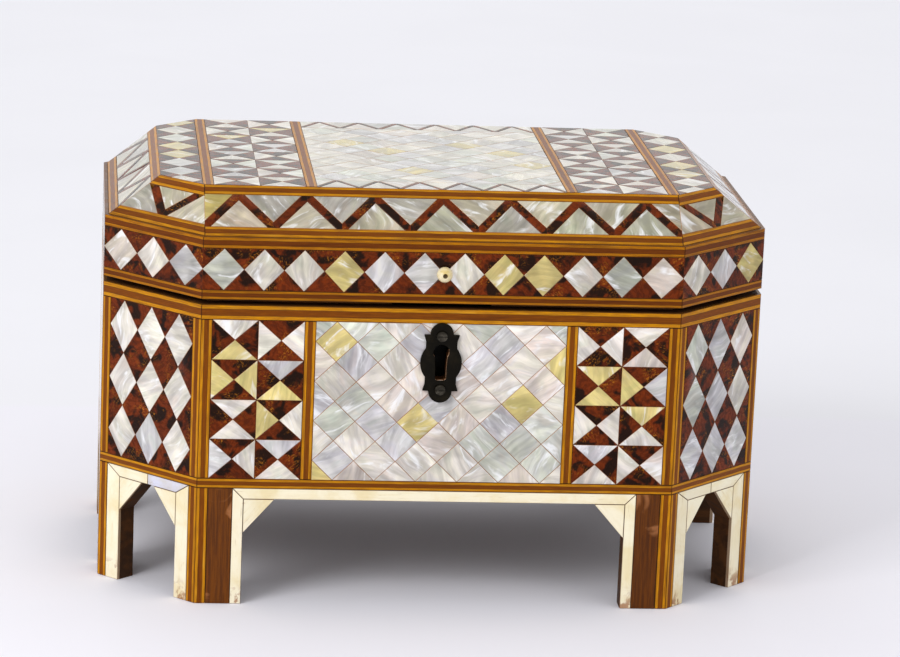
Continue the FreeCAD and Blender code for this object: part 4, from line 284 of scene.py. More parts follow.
class Finish:
    """A procedural material: its patterns are made first, and led to its shader last."""

    def __init__(self, name, **settings):
        self.material = bpy.data.materials.new(name)
        self.material.use_nodes = True
        self.tree = self.material.node_tree
        self.shader = self.tree.nodes["Principled BSDF"]
        for socket, amount in settings.items():
            self.shader.inputs[socket.replace("_", " ")].default_value = amount
        coordinates = self.add("TexCoord").outputs
        self.place, self.uv = coordinates["Object"], coordinates["UV"]

    def add(self, kind, inputs=None, **settings):
        return add_node(self.tree, kind, inputs, **settings)

    def lead(self, **links):
        """Lead patterns to the shader's sockets, and give the material back."""
        for socket, source in links.items():
            self.tree.links.new(source, self.shader.inputs[socket.replace("_", " ")])
        return self.material

    def math(self, operation, one, other=0.0):
        return self.add("Math", {0: one, 1: other}, operation=operation).outputs[0]

    def vector(self, operation, *inputs):
        return self.add("VectorMath", dict(enumerate(inputs)), operation=operation).outputs[0]

    def along(self, place, axis):
        """How far a place lies along X, Y or Z."""
        return self.add("SeparateXYZ", {"Vector": place}).outputs[axis]

    def noise(self, place, scale=1.0, stretch=None, detail=3, rough=0.55, warp=0.0):
        """Soft noise, closer along some axes than others where it is stretched."""
        if stretch:
            place = self.add("Mapping", {"Vector": place, "Scale": stretch}).outputs[0]
        inputs = {"Vector": place, "Scale": scale, "Detail": detail, "Roughness": rough,
                  "Distortion": warp}
        return self.add("TexNoise", inputs).outputs[0]

    def bent(self, place, amount):
        """Places drawn out of line by a slow wander, for grain that curves."""
        wander = self.add("TexNoise", {"Vector": place, "Scale": 0.5, "Detail": 1.0})
        drift = self.vector("SUBTRACT", wander.outputs["Color"], (0.5, 0.5, 0.5))
        return self.vector("MULTIPLY_ADD", drift, (amount, amount, 0.0), place)

    def spread(self, pattern, reach, out=(0.0, 1.0)):
        """A pattern stretched from one range to another, with soft ends."""
        inputs = {"Value": pattern, "From Min": reach[0], "From Max": reach[1],
                  "To Min": out[0], "To Max": out[1]}
        return self.add("MapRange", inputs, interpolation_type="SMOOTHSTEP").outputs[0]

    def gloss(self, pattern, low, high):
        """Roughness that follows a pattern."""
        return self.spread(pattern, (0.3, 0.7), (low, high))

    def blend(self, factor, one, other, kind="MIX"):
        """Two colours mixed by a factor; each is a socket or a colour."""
        inputs = {MIX_FACTOR: factor}
        for index, shade in ((MIX_ONE, one), (MIX_OTHER, other)):
            linked = isinstance(shade, bpy.types.NodeSocket)
            inputs[index] = shade if linked else rgba(shade)
        return self.add("Mix", inputs, data_type="RGBA", blend_type=kind).outputs[MIX_RESULT]

    def times(self, shade, share):
        return self.blend(1.0, shade, share, "MULTIPLY")

    def over(self, shade, pattern, reach, share, hue):
        """A shade with a colour laid over it where a pattern is high, by a share at most."""
        return self.blend(self.spread(pattern, reach, (0.0, share)), shade, hue)

    def ramp(self, pattern, stops):
        """Colours that follow one another along a pattern."""
        made = self.add("ValToRGB", {"Fac": pattern})
        elements = made.color_ramp.elements
        for index, (position, shade) in enumerate((stops[0], stops[-1])):
            elements[index].position, elements[index].color = position, rgba(srgb(*shade))
        for position, shade in stops[1:-1]:
            elements.new(position).color = rgba(srgb(*shade))
        return made.outputs[0]

    def tone(self):
        """The tile's own colour, and how near its edge a point lies."""
        tone = self.add("Attribute", attribute_name="tone").outputs
        return tone["Color"], tone["Alpha"]

    def jointed(self, shade, edge, share, glue):
        """A tile's colour, turned into the glue line at its edge."""
        return self.over(shade, edge, (0.05, 0.9), share, glue)

    def relief(self, height, strength, distance=0.0002):
        inputs = {"Height": height, "Strength": strength, "Distance": distance}
        return self.add("Bump", inputs).outputs[0]


def varnished(name, coat=1.0, gleam=0.13):
    """A finish below a thin clear varnish."""
    return Finish(name, Coat_Weight=coat, Coat_Roughness=0.1, Coat_IOR=1.16,
                  Specular_IOR_Level=gleam)


# Finishes

def pearl_finish():
    hues = colours()
    pearl = varnished("mother_of_pearl")
    tone, edge = pearl.tone()
    curved = pearl.bent(pearl.uv, 0.9)
    growth = pearl.noise(curved, stretch=(0.4, 2.6, 1), detail=4, rough=0.58, warp=0.3)
    fine = pearl.noise(curved, stretch=(0.9, 17.0, 1), rough=0.6)
    cloud = pearl.noise(pearl.uv, 0.6, detail=2, rough=0.5, warp=0.7)
    glint = pearl.noise(curved, 0.9, (0.7, 2.2, 1), rough=0.6, warp=0.8)
    turn = pearl.noise(pearl.uv, 0.7, (0.8, 1.5, 1), detail=2, rough=0.5, warp=1.2)
    shade = pearl.blend(0.4, tone, pearl.ramp(turn, PEARL_TURNS), "MULTIPLY")
    shade = pearl.times(shade, pearl.spread(cloud, (0.3, 0.7), (0.74, 1.1)))
    shade = pearl.times(shade, pearl.spread(growth, (0.34, 0.66), (0.78, 1.12)))
    # Painted glints of reflected light, where the streaks run high
    shade = pearl.over(shade, glint, (0.53, 0.72), 0.7, hues.pearl_painted_glint)
    shade = pearl.over(shade, fine, (0.58, 0.8), 0.22, hues.pearl_line)
    shade = pearl.jointed(shade, edge, 0.85, hues.pearl_joint)
    return pearl.lead(Base_Color=shade, Roughness=pearl.gloss(growth, 0.16, 0.32),
                      Normal=pearl.relief(growth, 0.1))


def shell_finish():
    hues = colours()
    shell = varnished("tortoiseshell", coat=0.7, gleam=0.05)
    tone, edge = shell.tone()
    cloud = shell.noise(shell.uv, 1.25, rough=0.5, warp=0.6)
    mottle = shell.noise(shell.uv, 3.6, (1, 1.6, 1), rough=0.6, warp=0.4)
    fleck = shell.noise(shell.uv, 7.0, (1, 1.7, 1), detail=4, rough=0.65, warp=0.8)
    patch = shell.spread(shell.noise(shell.uv, 0.9, detail=2), (0.5, 0.63), (0.0, 0.8))
    ground = shell.blend(shell.spread(mottle, (0.35, 0.68)), darker(hues.shell, 0.55), hues.shell)
    shade = shell.blend(shell.spread(cloud, (0.42, 0.55), (0.95, 0.0)), ground, hues.shell_dark)
    grains = shell.math("MULTIPLY", shell.spread(fleck, (0.5, 0.68)), patch)
    shade = shell.blend(grains, shade, hues.shell_amber)
    shade = shell.jointed(shell.times(shade, tone), edge, 0.6, hues.shell_joint)
    return shell.lead(Base_Color=shade, Roughness=shell.gloss(mottle, 0.2, 0.34),
                      Normal=shell.relief(mottle, 0.04))


def stringing_finish():
    """A brown line between two yellow ones, across the width of a strip."""
    hues = colours()
    strip = varnished("stringing", coat=0.45, gleam=0.06)
    tone, edge = strip.tone()
    waver = strip.noise(strip.uv, stretch=(0.7, 0.0, 0.0), detail=2)
    sway = strip.math("MULTIPLY", strip.math("SUBTRACT", waver, 0.5), 0.09)
    across = strip.math("ADD", strip.along(strip.uv, "Y"), sway)
    off = strip.math("ABSOLUTE", strip.math("SUBTRACT", across, 0.5))
    fibre = strip.noise(strip.uv, stretch=(1.2, 16, 1), detail=4, rough=0.65, warp=0.3)
    patch = strip.noise(strip.uv, stretch=(0.5, 1, 1))
    dull = strip.noise(strip.uv, stretch=(0.35, 2.5, 1), detail=4, rough=0.6, warp=0.5)
    brown = strip.blend(strip.spread(fibre, (0.4, 0.75)), hues.line_brown, hues.line_brown_pale)
    yellow = strip.blend(strip.spread(fibre, (0.35, 0.7)), hues.line_yellow_dark, hues.line_yellow)
    yellow = strip.over(yellow, patch, (0.5, 0.8), 0.3, hues.line_yellow_pale)
    outside = strip.spread(off, (STRIP_SEAM - SEAM_BLUR, STRIP_SEAM + SEAM_BLUR))
    seam = strip.math("ABSOLUTE", strip.math("SUBTRACT", off, STRIP_SEAM))
    shade = strip.blend(outside, brown, yellow)
    shade = strip.blend(strip.spread(seam, (0.0, 0.045), (0.75, 0.0)), shade, hues.joint)
    shade = strip.over(shade, dull, (0.48, 0.72), 0.5, hues.line_dull)
    shade = strip.jointed(strip.times(shade, tone), edge, 0.75, hues.joint)
    return strip.lead(Base_Color=shade, Roughness=strip.gloss(fibre, 0.32, 0.5),
                      Normal=strip.relief(fibre, 0.15))


def bone_finish():
    """Yellowed bone, stained at the feet."""
    hues = colours()
    bone = varnished("bone")
    tone, edge = bone.tone()
    pore = bone.noise(bone.uv, stretch=(1.1, 15, 1), detail=4, rough=0.65)
    grain = bone.noise(bone.uv, stretch=(0.45, 4.5, 1), detail=4, rough=0.6, warp=0.4)
    age = bone.noise(bone.place, 48.0, detail=4, rough=0.6, warp=0.6)
    blotch = bone.noise(bone.place, 170.0, detail=4, rough=0.6, warp=0.5)
    shade = bone.over(hues.bone, age, (0.42, 0.7), 0.75, hues.bone_aged)
    shade = bone.over(shade, grain, (0.5, 0.74), 0.4, hues.bone_aged)
    shade = bone.over(shade, pore, (0.58, 0.76), 0.5, hues.bone_pore)
    low = bone.spread(bone.along(bone.place, "Z"), (0.001, 0.012), (0.8, 0.0))
    stain = bone.math("MULTIPLY", low, bone.spread(blotch, (0.5, 0.62), (0.06, 1.0)))
    shade = bone.blend(stain, shade, hues.bone_stain)
    shade = bone.over(shade, blotch, (0.68, 0.76), 0.4, hues.bone_speck)
    shade = bone.jointed(bone.times(shade, tone), edge, 0.8, hues.bone_joint)
    return bone.lead(Base_Color=shade, Roughness=bone.gloss(grain, 0.34, 0.5),
                     Normal=bone.relief(pore, 0.12))


def leg_finish():
    """Brown veneer, faded more towards the top of the legs."""
    hues = colours()
    leg = varnished("leg_veneer", coat=0.5, gleam=0.08)
    tone, edge = leg.tone()
    grain = leg.noise(leg.uv, stretch=(0.5, 9, 1), detail=5, rough=0.62, warp=0.6)
    pore = leg.noise(leg.uv, stretch=(3, 60, 1), detail=2)
    worn = leg.math("MULTIPLY", leg.noise(leg.place, 75.0, warp=0.8),
                    leg.spread(leg.along(leg.place, "Z"), (0.026, 0.05), (0.84, 1.12)))
    shade = leg.blend(leg.spread(grain, (0.34, 0.68)), hues.leg_wood_dark, hues.leg_wood)
    shade = leg.over(shade, worn, (0.54, 0.68), 0.7, hues.leg_wood_pale)
    shade = leg.over(shade, pore, (0.6, 0.75), 0.6, hues.leg_pore)
    shade = leg.jointed(leg.times(shade, tone), edge, 0.7, hues.joint)
    return leg.lead(Base_Color=shade, Roughness=leg.gloss(grain, 0.3, 0.48),
                    Normal=leg.relief(pore, 0.2))


def wood_finish(name, body, dark, turn=(0, 0, 0)):
    """Plain timber with its grain along X, or along another way by a turn."""
    wood = Finish(name, Specular_IOR_Level=0.12)
    lengthwise = {"Vector": wood.place, "Rotation": turn, "Scale": (14, 160, 160)}
    along = wood.add("Mapping", lengthwise).outputs[0]
    grain = wood.noise(along, detail=5, rough=0.6, warp=0.9)
    pore = wood.noise(along, stretch=(3, 6, 6), rough=0.6)
    dirt = wood.noise(wood.place, 30.0, detail=4, rough=0.6)
    shade = wood.blend(wood.spread(grain, (0.34, 0.68)), dark, body)
    shade = wood.over(shade, pore, (0.58, 0.75), 0.55, dark)
    shade = wood.over(shade, dirt, (0.5, 0.75), 0.45, darker(dark, 0.45))
    return wood.lead(Base_Color=shade, Roughness=wood.gloss(grain, 0.5, 0.75),
                     Normal=wood.relief(pore, 0.25, 0.0003))


def metal_finish(name, body, worn, rough, metallic=1.0, gleam=0.5):
    """Metal with a tarnish, fine scratches and brighter worn patches."""
    metal = Finish(name, Metallic=metallic, Specular_IOR_Level=gleam)
    tarnish = metal.noise(metal.place, 160.0, detail=5, rough=0.62, warp=0.4)
    scratch = metal.noise(metal.place, stretch=(420, 60, 2600), detail=2, rough=0.5)
    pit = metal.noise(metal.place, 900.0, detail=2)
    shade = metal.blend(metal.spread(tarnish, (0.45, 0.72)), body, worn)
    shade = metal.over(shade, scratch, (0.62, 0.8), 0.5, worn)
    shade = metal.over(shade, pit, (0.64, 0.78), 0.6, darker(body, 0.35))
    return metal.lead(Base_Color=shade, Roughness=metal.gloss(tarnish, *rough),
                      Normal=metal.relief(metal.math("ADD", scratch, pit), 0.1))


def glass_finish():
    tint = rgba(colours().glass)
    glass = Finish("clear_glass", Base_Color=tint, Transmission_Weight=1.0, IOR=1.5)
    ripple = glass.noise(glass.place, 26.0, detail=2)
    dust = glass.noise(glass.place, 240.0, detail=4, rough=0.65)
    return glass.lead(Roughness=glass.spread(dust, (0.6, 0.8), (0.0, 0.08)),
                      Normal=glass.relief(ripple, 0.04, 0.0006))


def knob_finish():
    """Turned bone, painted dark in the hollow at its tip."""
    hues, radius = colours(), sizes().knob_dimple
    knob = varnished("turned_bone")
    low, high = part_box("lid_knob")
    middle = (low + high) / 2
    to_tip = {"Vector": knob.place, "Location": (-middle.x, -low.y, -middle.z)}
    around = knob.add("Mapping", to_tip).outputs[0]
    flat = knob.vector("MULTIPLY", around, (1, 0, 1))
    out = knob.add("VectorMath", {0: flat}, operation="LENGTH").outputs["Value"]
    deep = knob.along(around, "Y")
    hollow = knob.math("MULTIPLY", knob.spread(out, (radius * 0.8, radius * 1.15), (0.92, 0.0)),
                       knob.spread(deep, (0.0022, 0.003), (1.0, 0.0)))
    ring = knob.noise(knob.place, stretch=(300, 2400, 300))
    age = knob.noise(knob.place, 260.0, detail=4, rough=0.6)
    shade = knob.blend(knob.spread(age, (0.3, 0.7), (0.3, 1.0)), hues.bone, hues.knob_aged)
    shade = knob.over(shade, ring, (0.6, 0.8), 0.4, hues.knob_ring)
    shade = knob.blend(hollow, shade, hues.dimple)
    return knob.lead(Base_Color=shade, Roughness=knob.gloss(age, 0.28, 0.42),
                     Normal=knob.relief(ring, 0.1))


def paper_finish():
    """Pale paper that turns from floor to backdrop behind the box."""
    hues, edge = colours(), sizes().paper_edge
    paper = Finish("pale_paper", Roughness=0.9, Specular_IOR_Level=0.1)
    tooth = paper.noise(paper.place, 900.0)
    wave = paper.noise(paper.place, 5.0, rough=0.5, warp=0.6)
    behind = paper.spread(paper.along(paper.place, "Y"), (edge - PAPER_BLUR, edge + PAPER_BLUR))
    shade = paper.blend(behind, hues.floor, hues.backdrop)
    shade = paper.times(shade, paper.spread(wave, (0.3, 0.7), (0.985, 1.0)))
    return paper.lead(Base_Color=shade, Normal=paper.relief(tooth, 0.05, 0.0005))


def light_world(scene):
    """Soft light from all round, and white where the world itself is seen or mirrored."""
    world = scene.world or bpy.data.worlds.new("studio")
    scene.world = world
    world.use_nodes = True
    tree = world.node_tree
    background = tree.nodes["Background"]
    background.inputs["Color"].default_value = rgba((1, 1, 1))
    path = add_node(tree, "LightPath").outputs
    seen = path["Is Camera Ray"]
    for kind in ("Is Glossy Ray", "Is Transmission Ray"):
        seen = add_node(tree, "Math", {0: seen, 1: path[kind]}, operation="MAXIMUM").outputs[0]
    strength = {"Value": seen, "To Min": WORLD_LIGHT, "To Max": WORLD_SEEN}
    tree.links.new(add_node(tree, "MapRange", strength).outputs[0], background.inputs["Strength"])


# Modelling helpers

def alone(piece):
    """Select one object and nothing else, and make it the active one."""
    bpy.ops.object.select_all(action="DESELECT")
    piece.select_set(True)
    bpy.context.view_layer.objects.active = piece


def copy_node(node, name, flat=True):
    """A merged copy of a node, free of its body, selected and ready to be worked on."""
    alone(frame["nodes"][node])
    bpy.ops.object.duplicate()
    piece = bpy.context.view_layer.objects.active
    bpy.ops.object.parent_clear(type="CLEAR_KEEP_TRANSFORM")
    for key in list(piece.keys()):
        del piece[key]
    piece.name = piece.data.name = name
    piece.data.materials.clear()
    bpy.ops.object.mode_set(mode="EDIT")
    bpy.ops.mesh.select_all(action="SELECT")
    bpy.ops.mesh.remove_doubles(threshold=MERGE)
    bpy.ops.mesh.customdata_custom_splitnormals_clear()
    if flat:
        bpy.ops.mesh.dissolve_limited(angle_limit=radians(1))
    bpy.ops.object.mode_set(mode="OBJECT")
    return piece


def keep(piece, node):
    """Let a piece stand for a node, on the node's body."""
    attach(piece, frame["nodes"][node]["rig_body"])
    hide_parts(node)


def coat(finish, *nodes):
    """Put a finish on nodes that keep their shape."""
    for node in nodes:
        slots = frame["nodes"][node].data.materials
        slots.clear()
        slots.append(finish)


def softened(node, name, finish, edge):
    """Replace a node by a copy with its sharp edges eased."""
    piece = copy_node(node, name, flat=False)
    ease = piece.modifiers.new("eased_edges", "BEVEL")
    ease.width = edge
    ease.segments = 2
    ease.limit_method = "ANGLE"
    ease.angle_limit = radians(40)
    bpy.ops.object.modifier_apply(modifier=ease.name)
    bpy.ops.object.shade_smooth_by_angle(angle=radians(35))
    piece.data.materials.append(finish)
    keep(piece, node)


def islands(mesh):
    """Faces of a merged mesh, gathered by the loose piece that they belong to."""
    leader = list(range(len(mesh.vertices)))

    def head(index):
        while leader[index] != index:
            leader[index] = leader[leader[index]]
            index = leader[index]
        return index

    for edge in mesh.edges:
        one, other = (head(index) for index in edge.vertices)
        leader[one] = other
    gathered = {}
    for face in mesh.polygons:
        gathered.setdefault(head(face.vertices[0]), []).append(face)
    return list(gathered.values())


def outer_faces(faces):
    """The faces of a tile that show: the outward broad one, and what else lies in its plane."""
    broad = sorted(faces, key=lambda face: (len(face.vertices) != 4, face.area))[-2:]
    front = max(broad, key=lambda face: (face.center - MIDDLE).dot(face.normal))
    normal, level = front.normal.copy(), front.center.dot(front.normal)
    return [face for face in faces if face.normal.dot(normal) > SAME_WAY
            and abs(face.center.dot(normal) - level) < IN_PLANE]


def close_arris(piece):
    """Draw the shown corners of tiles that end just short of an upright arris out to it."""
    limits, mesh = sizes(), piece.data
    front_depth = limits.end_half + abs(MIDDLE.x - cad_box[0].x) - limits.long_half
    corners = ((limits.long_half, front_depth), (cad_box[1].x, limits.end_half))
    arrises = [Vector((x * across, y * deep, 0)) for across, deep in corners
               for x in (-1, 1) for y in (-1, 1)]
    fronts = [face for faces in islands(mesh) for face in outer_faces(faces)
              if abs(face.normal.z) < UPRIGHT]
    for face in fronts:
        for index in face.vertices:
            corner = mesh.vertices[index]
            for arris in arrises:
                gap = arris - corner.co
                gap.z = 0
                if gap.length < ARRIS_REACH:
                    corner.co += gap * ARRIS_PULL


def wear_edges(piece, chance, drop, rim, tilt, grow):
    """Sink each tile a little unevenly, close its joints, and leave its middle proud of its edge.

    The faces that show stay selected.
    """
    mesh = piece.data
    shown = []
    for faces in islands(mesh):
        lean = Vector([chance.uniform(-1, 1) for _ in range(3)])
        for face in outer_faces(faces):
            shown.append(face.index)
            normal, middle = face.normal.copy(), face.center.copy()
            reach = max((mesh.vertices[index].co - middle).length for index in face.vertices)
            girth = sum((mesh.vertices[one].co - mesh.vertices[other].co).length
                        for one, other in face.edge_keys)
            wider = grow * girth / 2 / face.area
            for index in face.vertices:
                corner = mesh.vertices[index]
                slope = lean.dot(corner.co - middle) / reach / LEAN_LIMIT
                corner.co += (corner.co - middle) * wider - normal * (drop + tilt * (1 + slope))
    alone(piece)
    bpy.ops.object.mode_set(mode="EDIT")
    bpy.ops.mesh.select_mode(type="FACE")
    bpy.ops.mesh.select_all(action="DESELECT")
    bpy.ops.object.mode_set(mode="OBJECT")
    for index in shown:
        mesh.polygons[index].select = True
    bpy.ops.object.mode_set(mode="EDIT")
    bpy.ops.mesh.inset(thickness=rim, depth=drop, use_individual=True)
    bpy.ops.object.mode_set(mode="OBJECT")


def mark_tiles(piece, chance, tone, grained):
    """Give each tile its own colour, edge and grain, along its length if grained, or any way."""
    mesh = piece.data
    while mesh.uv_layers:
        mesh.uv_layers.remove(mesh.uv_layers[0])
    mesh.uv_layers.new(name="grain")
    mesh.color_attributes.new("tone", "FLOAT_COLOR", "CORNER")
    grain, tones = mesh.uv_layers["grain"], mesh.color_attributes["tone"]
    for faces in islands(mesh):
        fronts = [face for face in faces if face.select]
        face = max(fronts, key=lambda front: front.area)
        inner = {index for front in fronts for index in front.vertices}
        corners = [mesh.vertices[index].co for index in face.vertices]
        sides = [corners[index] - corners[index - 1] for index in range(len(corners))]
        along = max(sides, key=lambda side: side.length).normalized()
        across = face.normal.cross(along)
        turn = 0 if grained else chance.uniform(0, pi)
        u_way = along * cos(turn) + across * sin(turn)
        v_way = across * cos(turn) - along * sin(turn)
        heights = [v_way.dot(corner) for corner in corners]
        low, reach = min(heights), max(heights) - min(heights)
        start_u, start_v = chance.uniform(0, GRAIN_START), chance.uniform(0, GRAIN_START)
        shade = tone(chance, face)
        for part in faces:
            for loop, index in zip(part.loop_indices, part.vertices):
                point = mesh.vertices[index].co
                u = u_way.dot(point - face.center) * GRAIN_SCALE + start_u
                v = v_way.dot(point) * GRAIN_SCALE + start_v
                if grained == "strip":
                    v = (v_way.dot(point) - low) / reach
                grain.data[loop].uv = (u, v)
                tones.data[loop].color = (*shade, 0.0 if index in inner else 1.0)


def inlay(node, name, finish, tone, seed, grained=None):
    """Replace a node of tiles or strips by worn pieces with their own tones."""
    chance = random.Random(seed)
    limits = sizes()
    piece = copy_node(node, name)
    if grained == "strip":
        wear_edges(piece, chance, limits.strip_drop, limits.strip_rim, limits.tile_tilt / 2, 0.0)
    else:
        close_arris(piece)
        wear_edges(piece, chance, limits.tile_drop, limits.tile_rim, limits.tile_tilt,
                   0.0 if grained else limits.tile_grow)
    mark_tiles(piece, chance, tone, grained)
    piece.data.materials.append(finish)
    keep(piece, node)


def uneven(chance, shade, amount):
    """A shade made a little lighter or darker by chance."""
    level = 1 + chance.uniform(-amount, amount)
    return tuple(min(1.0, channel * level) for channel in shade)


def near(face, place):
    """Whether the middle of a tile is at a place given in mm."""
    return (face.center - Vector(place) / 1000).length < TILE_REACH


def region(face):
    """The part of the box that a tile lies on."""
    if face.normal.z > STRAIGHT:
        return "top"
    if face.normal.z > SLOPED:
        return "slope"
    if face.center.z > LID_FOOT:
        return "lid_wall"
    return "corner" if TURNED < abs(face.normal.x) < STRAIGHT else "wall"


# Pieces

class MUSICBOX_OT_pearl(bpy.types.Operator):
    """Lay the mother of pearl tiles of the case and lid"""
    bl_idname = "music_box.pearl"
    bl_label = "Pearl Tiles"

    def execute(self, context):
        hues = colours()
        whites = (hues.pearl, hues.lilac_pearl, hues.rose_pearl, hues.green_pearl)

        def tone(chance, face):
            golden = any(near(face, place) for place in GOLDEN)
            if face.normal.y > TURNED or abs(face.normal.x) > STRAIGHT:
                golden = chance.random() < GOLD_CHANCE
            shade, amount = chance.choices(whites, PEARL_MIX)[0], PEARL_UNEVEN
            if golden:
                shade, amount = hues.gold_pearl, GOLD_UNEVEN
            shade = uneven(chance, shade, amount)
            # Painted shade, by the part of the box that the tile lies on
            return [level * share for level, share in zip(shade, PEARL_PAINTED_SHADE[region(face)])]

        finish = pearl_finish()
        inlay("body_pearl_tiles", "body_pearl", finish, tone, seed=11)
        inlay("lid_pearl_tiles", "lid_pearl", finish, tone, seed=12)
        return {"FINISHED"}


class MUSICBOX_OT_shell(bpy.types.Operator):
    """Lay the tortoiseshell tiles of the case and lid"""
    bl_idname = "music_box.shell"
    bl_label = "Shell Tiles"

    def execute(self, context):
        def tone(chance, face):
            return uneven(chance, SHELL_TONE, SHELL_UNEVEN)

        finish = shell_finish()
        inlay("body_shell_tiles", "body_shell", finish, tone, seed=21)
        inlay("lid_shell_tiles", "lid_shell", finish, tone, seed=22)
        return {"FINISHED"}


class MUSICBOX_OT_stringing(bpy.types.Operator):
    """Lay the striped stringing along the edges and between the panels"""
    bl_idname = "music_box.stringing"
    bl_label = "Stringing"

    def execute(self, context):
        def tone(chance, face):
            shade = LID_WALL_STRIP_TONE if region(face) == "lid_wall" else STRIP_TONE
            return uneven(chance, shade, STRIP_UNEVEN)

        finish = stringing_finish()
        inlay("body_stringing", "body_strips", finish, tone, seed=31, grained="strip")
        inlay("lid_stringing", "lid_strips", finish, tone, seed=32, grained="strip")
        return {"FINISHED"}


class MUSICBOX_OT_skirt(bpy.types.Operator):
    """Lay the bone of the aprons and legs, and the veneer of the legs"""
    bl_idname = "music_box.skirt"
    bl_label = "Bone Skirt"

    def execute(self, context):
        def bone_tone(chance, face):
            if near(face, BLUE_APRON):
                return BLUE_BONE_TONE
            return uneven(chance, BONE_TONE, BONE_UNEVEN)

        def leg_tone(chance, face):
            return uneven(chance, LEG_TONE, LEG_UNEVEN)

        inlay("skirt_bone", "bone_skirt", bone_finish(), bone_tone, seed=41, grained="long")
        inlay("leg_veneer", "leg_veneers", leg_finish(), leg_tone, seed=42,
              grained="long")
        return {"FINISHED"}


class MUSICBOX_OT_boards(bpy.types.Operator):
    """Finish the boards of the case, the lid and the lining"""
    bl_idname = "music_box.boards"
    bl_label = "Boards"

    def execute(self, context):
        case, lining = colours().case_wood, colours().lining_wood
        dark, lining_dark = darker(case, 0.4), darker(lining, 0.5)
        across, upright = (0, 0, radians(90)), (0, radians(90), 0)
        coat(wood_finish("case_wood", case, dark), "front_board", "back_board", "base_board",
             "lid_rails", "lid_bevel_boards", "lid_top_panel")
        coat(wood_finish("case_wood_across", case, dark, across), "left_board", "right_board")
        coat(wood_finish("case_wood_upright", case, dark, upright), "corner_boards", "legs",
             "apron_rails", "apron_brackets")
        coat(wood_finish("lining_wood", lining, lining_dark), "rim_lining", "cover_frame")
        coat(wood_finish("partition_wood", lining, lining_dark, across), "partition_board")
        return {"FINISHED"}


class MUSICBOX_OT_fittings(bpy.types.Operator):
    """Make the lock plate, its screws, the knob and the hinges"""
    bl_idname = "music_box.fittings"
    bl_label = "Fittings"

    def execute(self, context):
        hues, edge = colours(), sizes().metal_edge
        iron = metal_finish("black_iron", hues.iron, hues.iron_worn, (0.28, 0.5),
                            metallic=0.0, gleam=0.07)
        plate_screw = metal_finish("worn_screw_steel", hues.plate_screw, hues.plate_screw_worn,
                                   (0.3, 0.55), metallic=0.6, gleam=0.3)
        brass = metal_finish("hinge_brass", hues.brass, hues.hinge_worn, (0.26, 0.5))
        softened("escutcheon", "lock_plate", iron, edge)
        softened("escutcheon_screws", "lock_plate_screws", plate_screw, edge / 2)
        softened("case_hinge_leaves", "case_leaves", brass, edge)
        softened("lid_hinge_leaves", "lid_leaves", brass, edge)
        coat(brass, "hinge_pins", "case_hinge_screws", "lid_hinge_screws")
        coat(iron, "lock_case", "lock_staple", "lock_bolt")
        softened("lid_knob", "bone_knob", knob_finish(), edge / 2)
        return {"FINISHED"}


class MUSICBOX_OT_movement(bpy.types.Operator):
    """Finish the movement, its key and the glass over it"""
    bl_idname = "music_box.movement"
    bl_label = "Movement"

    def execute(self, context):
        hues = colours()
        brass = metal_finish("movement_brass", hues.brass, hues.brass_worn, (0.2, 0.4))
        steel = metal_finish("movement_steel", hues.steel, hues.steel_worn, (0.18, 0.38))
        bed = metal_finish("bed_iron", hues.bed, hues.bed_worn, (0.4, 0.6), metallic=0.4)
        key_brass = metal_finish("key_brass", hues.brass, hues.key_worn, (0.28, 0.5))
        screw_steel = metal_finish("screw_steel", hues.screw, hues.screw_worn, (0.3, 0.5))
        coat(brass, "barrel_drum", "barrel_cover", "barrel_bridge", "bearing_post", "train_plates",
             "cylinder_tube", "cylinder_wheel", "fly_vanes")
        coat(steel, "mainspring", "winding_arbor", "ratchet_wheel", "click", "cylinder_arbor",
             "cylinder_pins", "train_arbor", "fly_arbor", "comb")
        coat(screw_steel, "bedplate_screws", "movement_screws", "click_pin", "stop_rod",
             "stop_striker")
        coat(bed, "bedplate", "comb_base")
        coat(key_brass, "winding_key")
        coat(glass_finish(), "cover_glass")
        return {"FINISHED"}


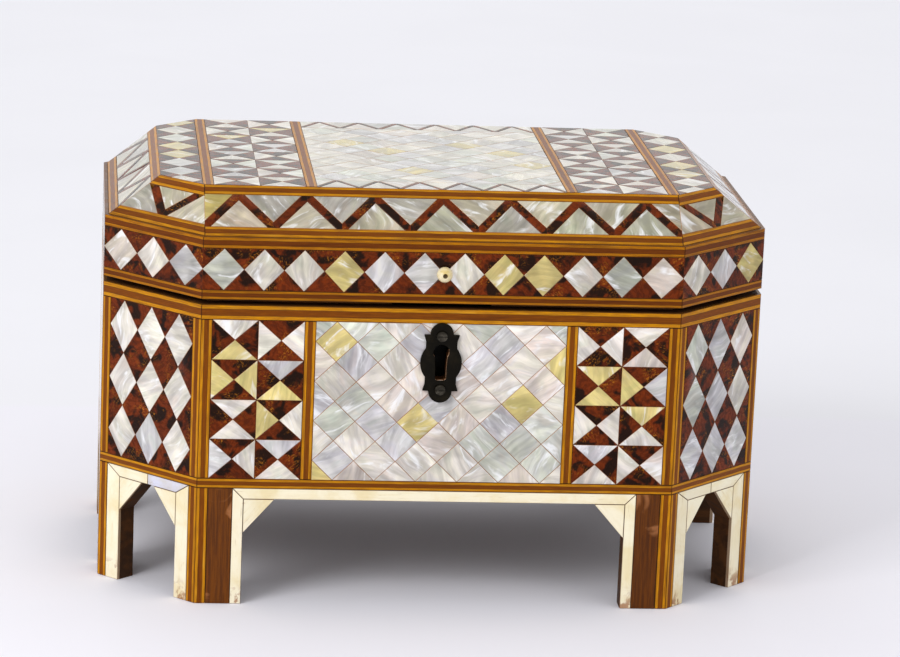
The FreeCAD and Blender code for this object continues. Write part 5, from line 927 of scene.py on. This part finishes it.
class MUSICBOX_OT_stage(bpy.types.Operator):
    """Set the paper floor and backdrop, the lamps and the camera"""
    bl_idname = "music_box.stage"
    bl_label = "Stage"

    def execute(self, context):
        bpy.ops.object.select_all(action="DESELECT")
        bpy.ops.mesh.primitive_plane_add(size=PAPER_SIZE)
        sheet = context.active_object
        sheet.name = "paper"
        bpy.ops.object.mode_set(mode="EDIT")
        bpy.ops.mesh.subdivide(number_cuts=PAPER_CUTS)
        bpy.ops.object.mode_set(mode="OBJECT")
        sheet.data.materials.append(paper_finish())
        for name, place, aim, size, power in LAMPS:
            bpy.ops.object.light_add(type="AREA", location=place)
            lamp = context.active_object
            lamp.name = name
            lamp.data.size = size
            lamp.data.energy = power
            ray = Vector(aim) - Vector(place)
            lamp.rotation_euler = ray.to_track_quat("-Z", "Y").to_euler()
        light_world(context.scene)
        bpy.ops.object.camera_add()
        camera = context.active_object
        camera.name = "camera"
        camera.data.lens = sizes().lens
        camera.data.sensor_width = SENSOR
        turns = ((CAMERA_BEARING, "Z"), (90 - CAMERA_DIP, "X"), (CAMERA_ROLL, "Z"))
        stand = Matrix.Translation(CAMERA_PLACE)
        for angle, axis in turns:
            stand = stand @ Matrix.Rotation(radians(angle), 4, axis)
        camera.matrix_world = stand
        context.scene.camera = camera
        context.scene.view_settings.view_transform = "Standard"
        return {"FINISHED"}


STEPS = (MUSICBOX_OT_pearl, MUSICBOX_OT_shell, MUSICBOX_OT_stringing, MUSICBOX_OT_skirt,
         MUSICBOX_OT_boards, MUSICBOX_OT_fittings, MUSICBOX_OT_movement, MUSICBOX_OT_stage)


class MUSICBOX_PT_panel(bpy.types.Panel):
    """Steps that dress the music box"""
    bl_idname = "MUSICBOX_PT_panel"
    bl_label = "Music Box"
    bl_space_type = "VIEW_3D"
    bl_region_type = "UI"
    bl_category = "Music Box"

    def draw(self, context):
        for step in STEPS:
            self.layout.operator(step.bl_idname)


CLASSES = (MusicBoxColours, MusicBoxSizes, *STEPS, MUSICBOX_PT_panel)


def register():
    for kind in CLASSES:
        bpy.utils.register_class(kind)
    bpy.types.Scene.music_box_colours = PointerProperty(type=MusicBoxColours)
    bpy.types.Scene.music_box_sizes = PointerProperty(type=MusicBoxSizes)


def unregister():
    del bpy.types.Scene.music_box_sizes
    del bpy.types.Scene.music_box_colours
    for kind in reversed(CLASSES):
        bpy.utils.unregister_class(kind)


def main():
    register()
    bpy.ops.music_box.pearl()
    bpy.ops.music_box.shell()
    bpy.ops.music_box.stringing()
    bpy.ops.music_box.skirt()
    bpy.ops.music_box.boards()
    bpy.ops.music_box.fittings()
    bpy.ops.music_box.movement()
    bpy.ops.music_box.stage()


if __name__ == "__main__":
    main()
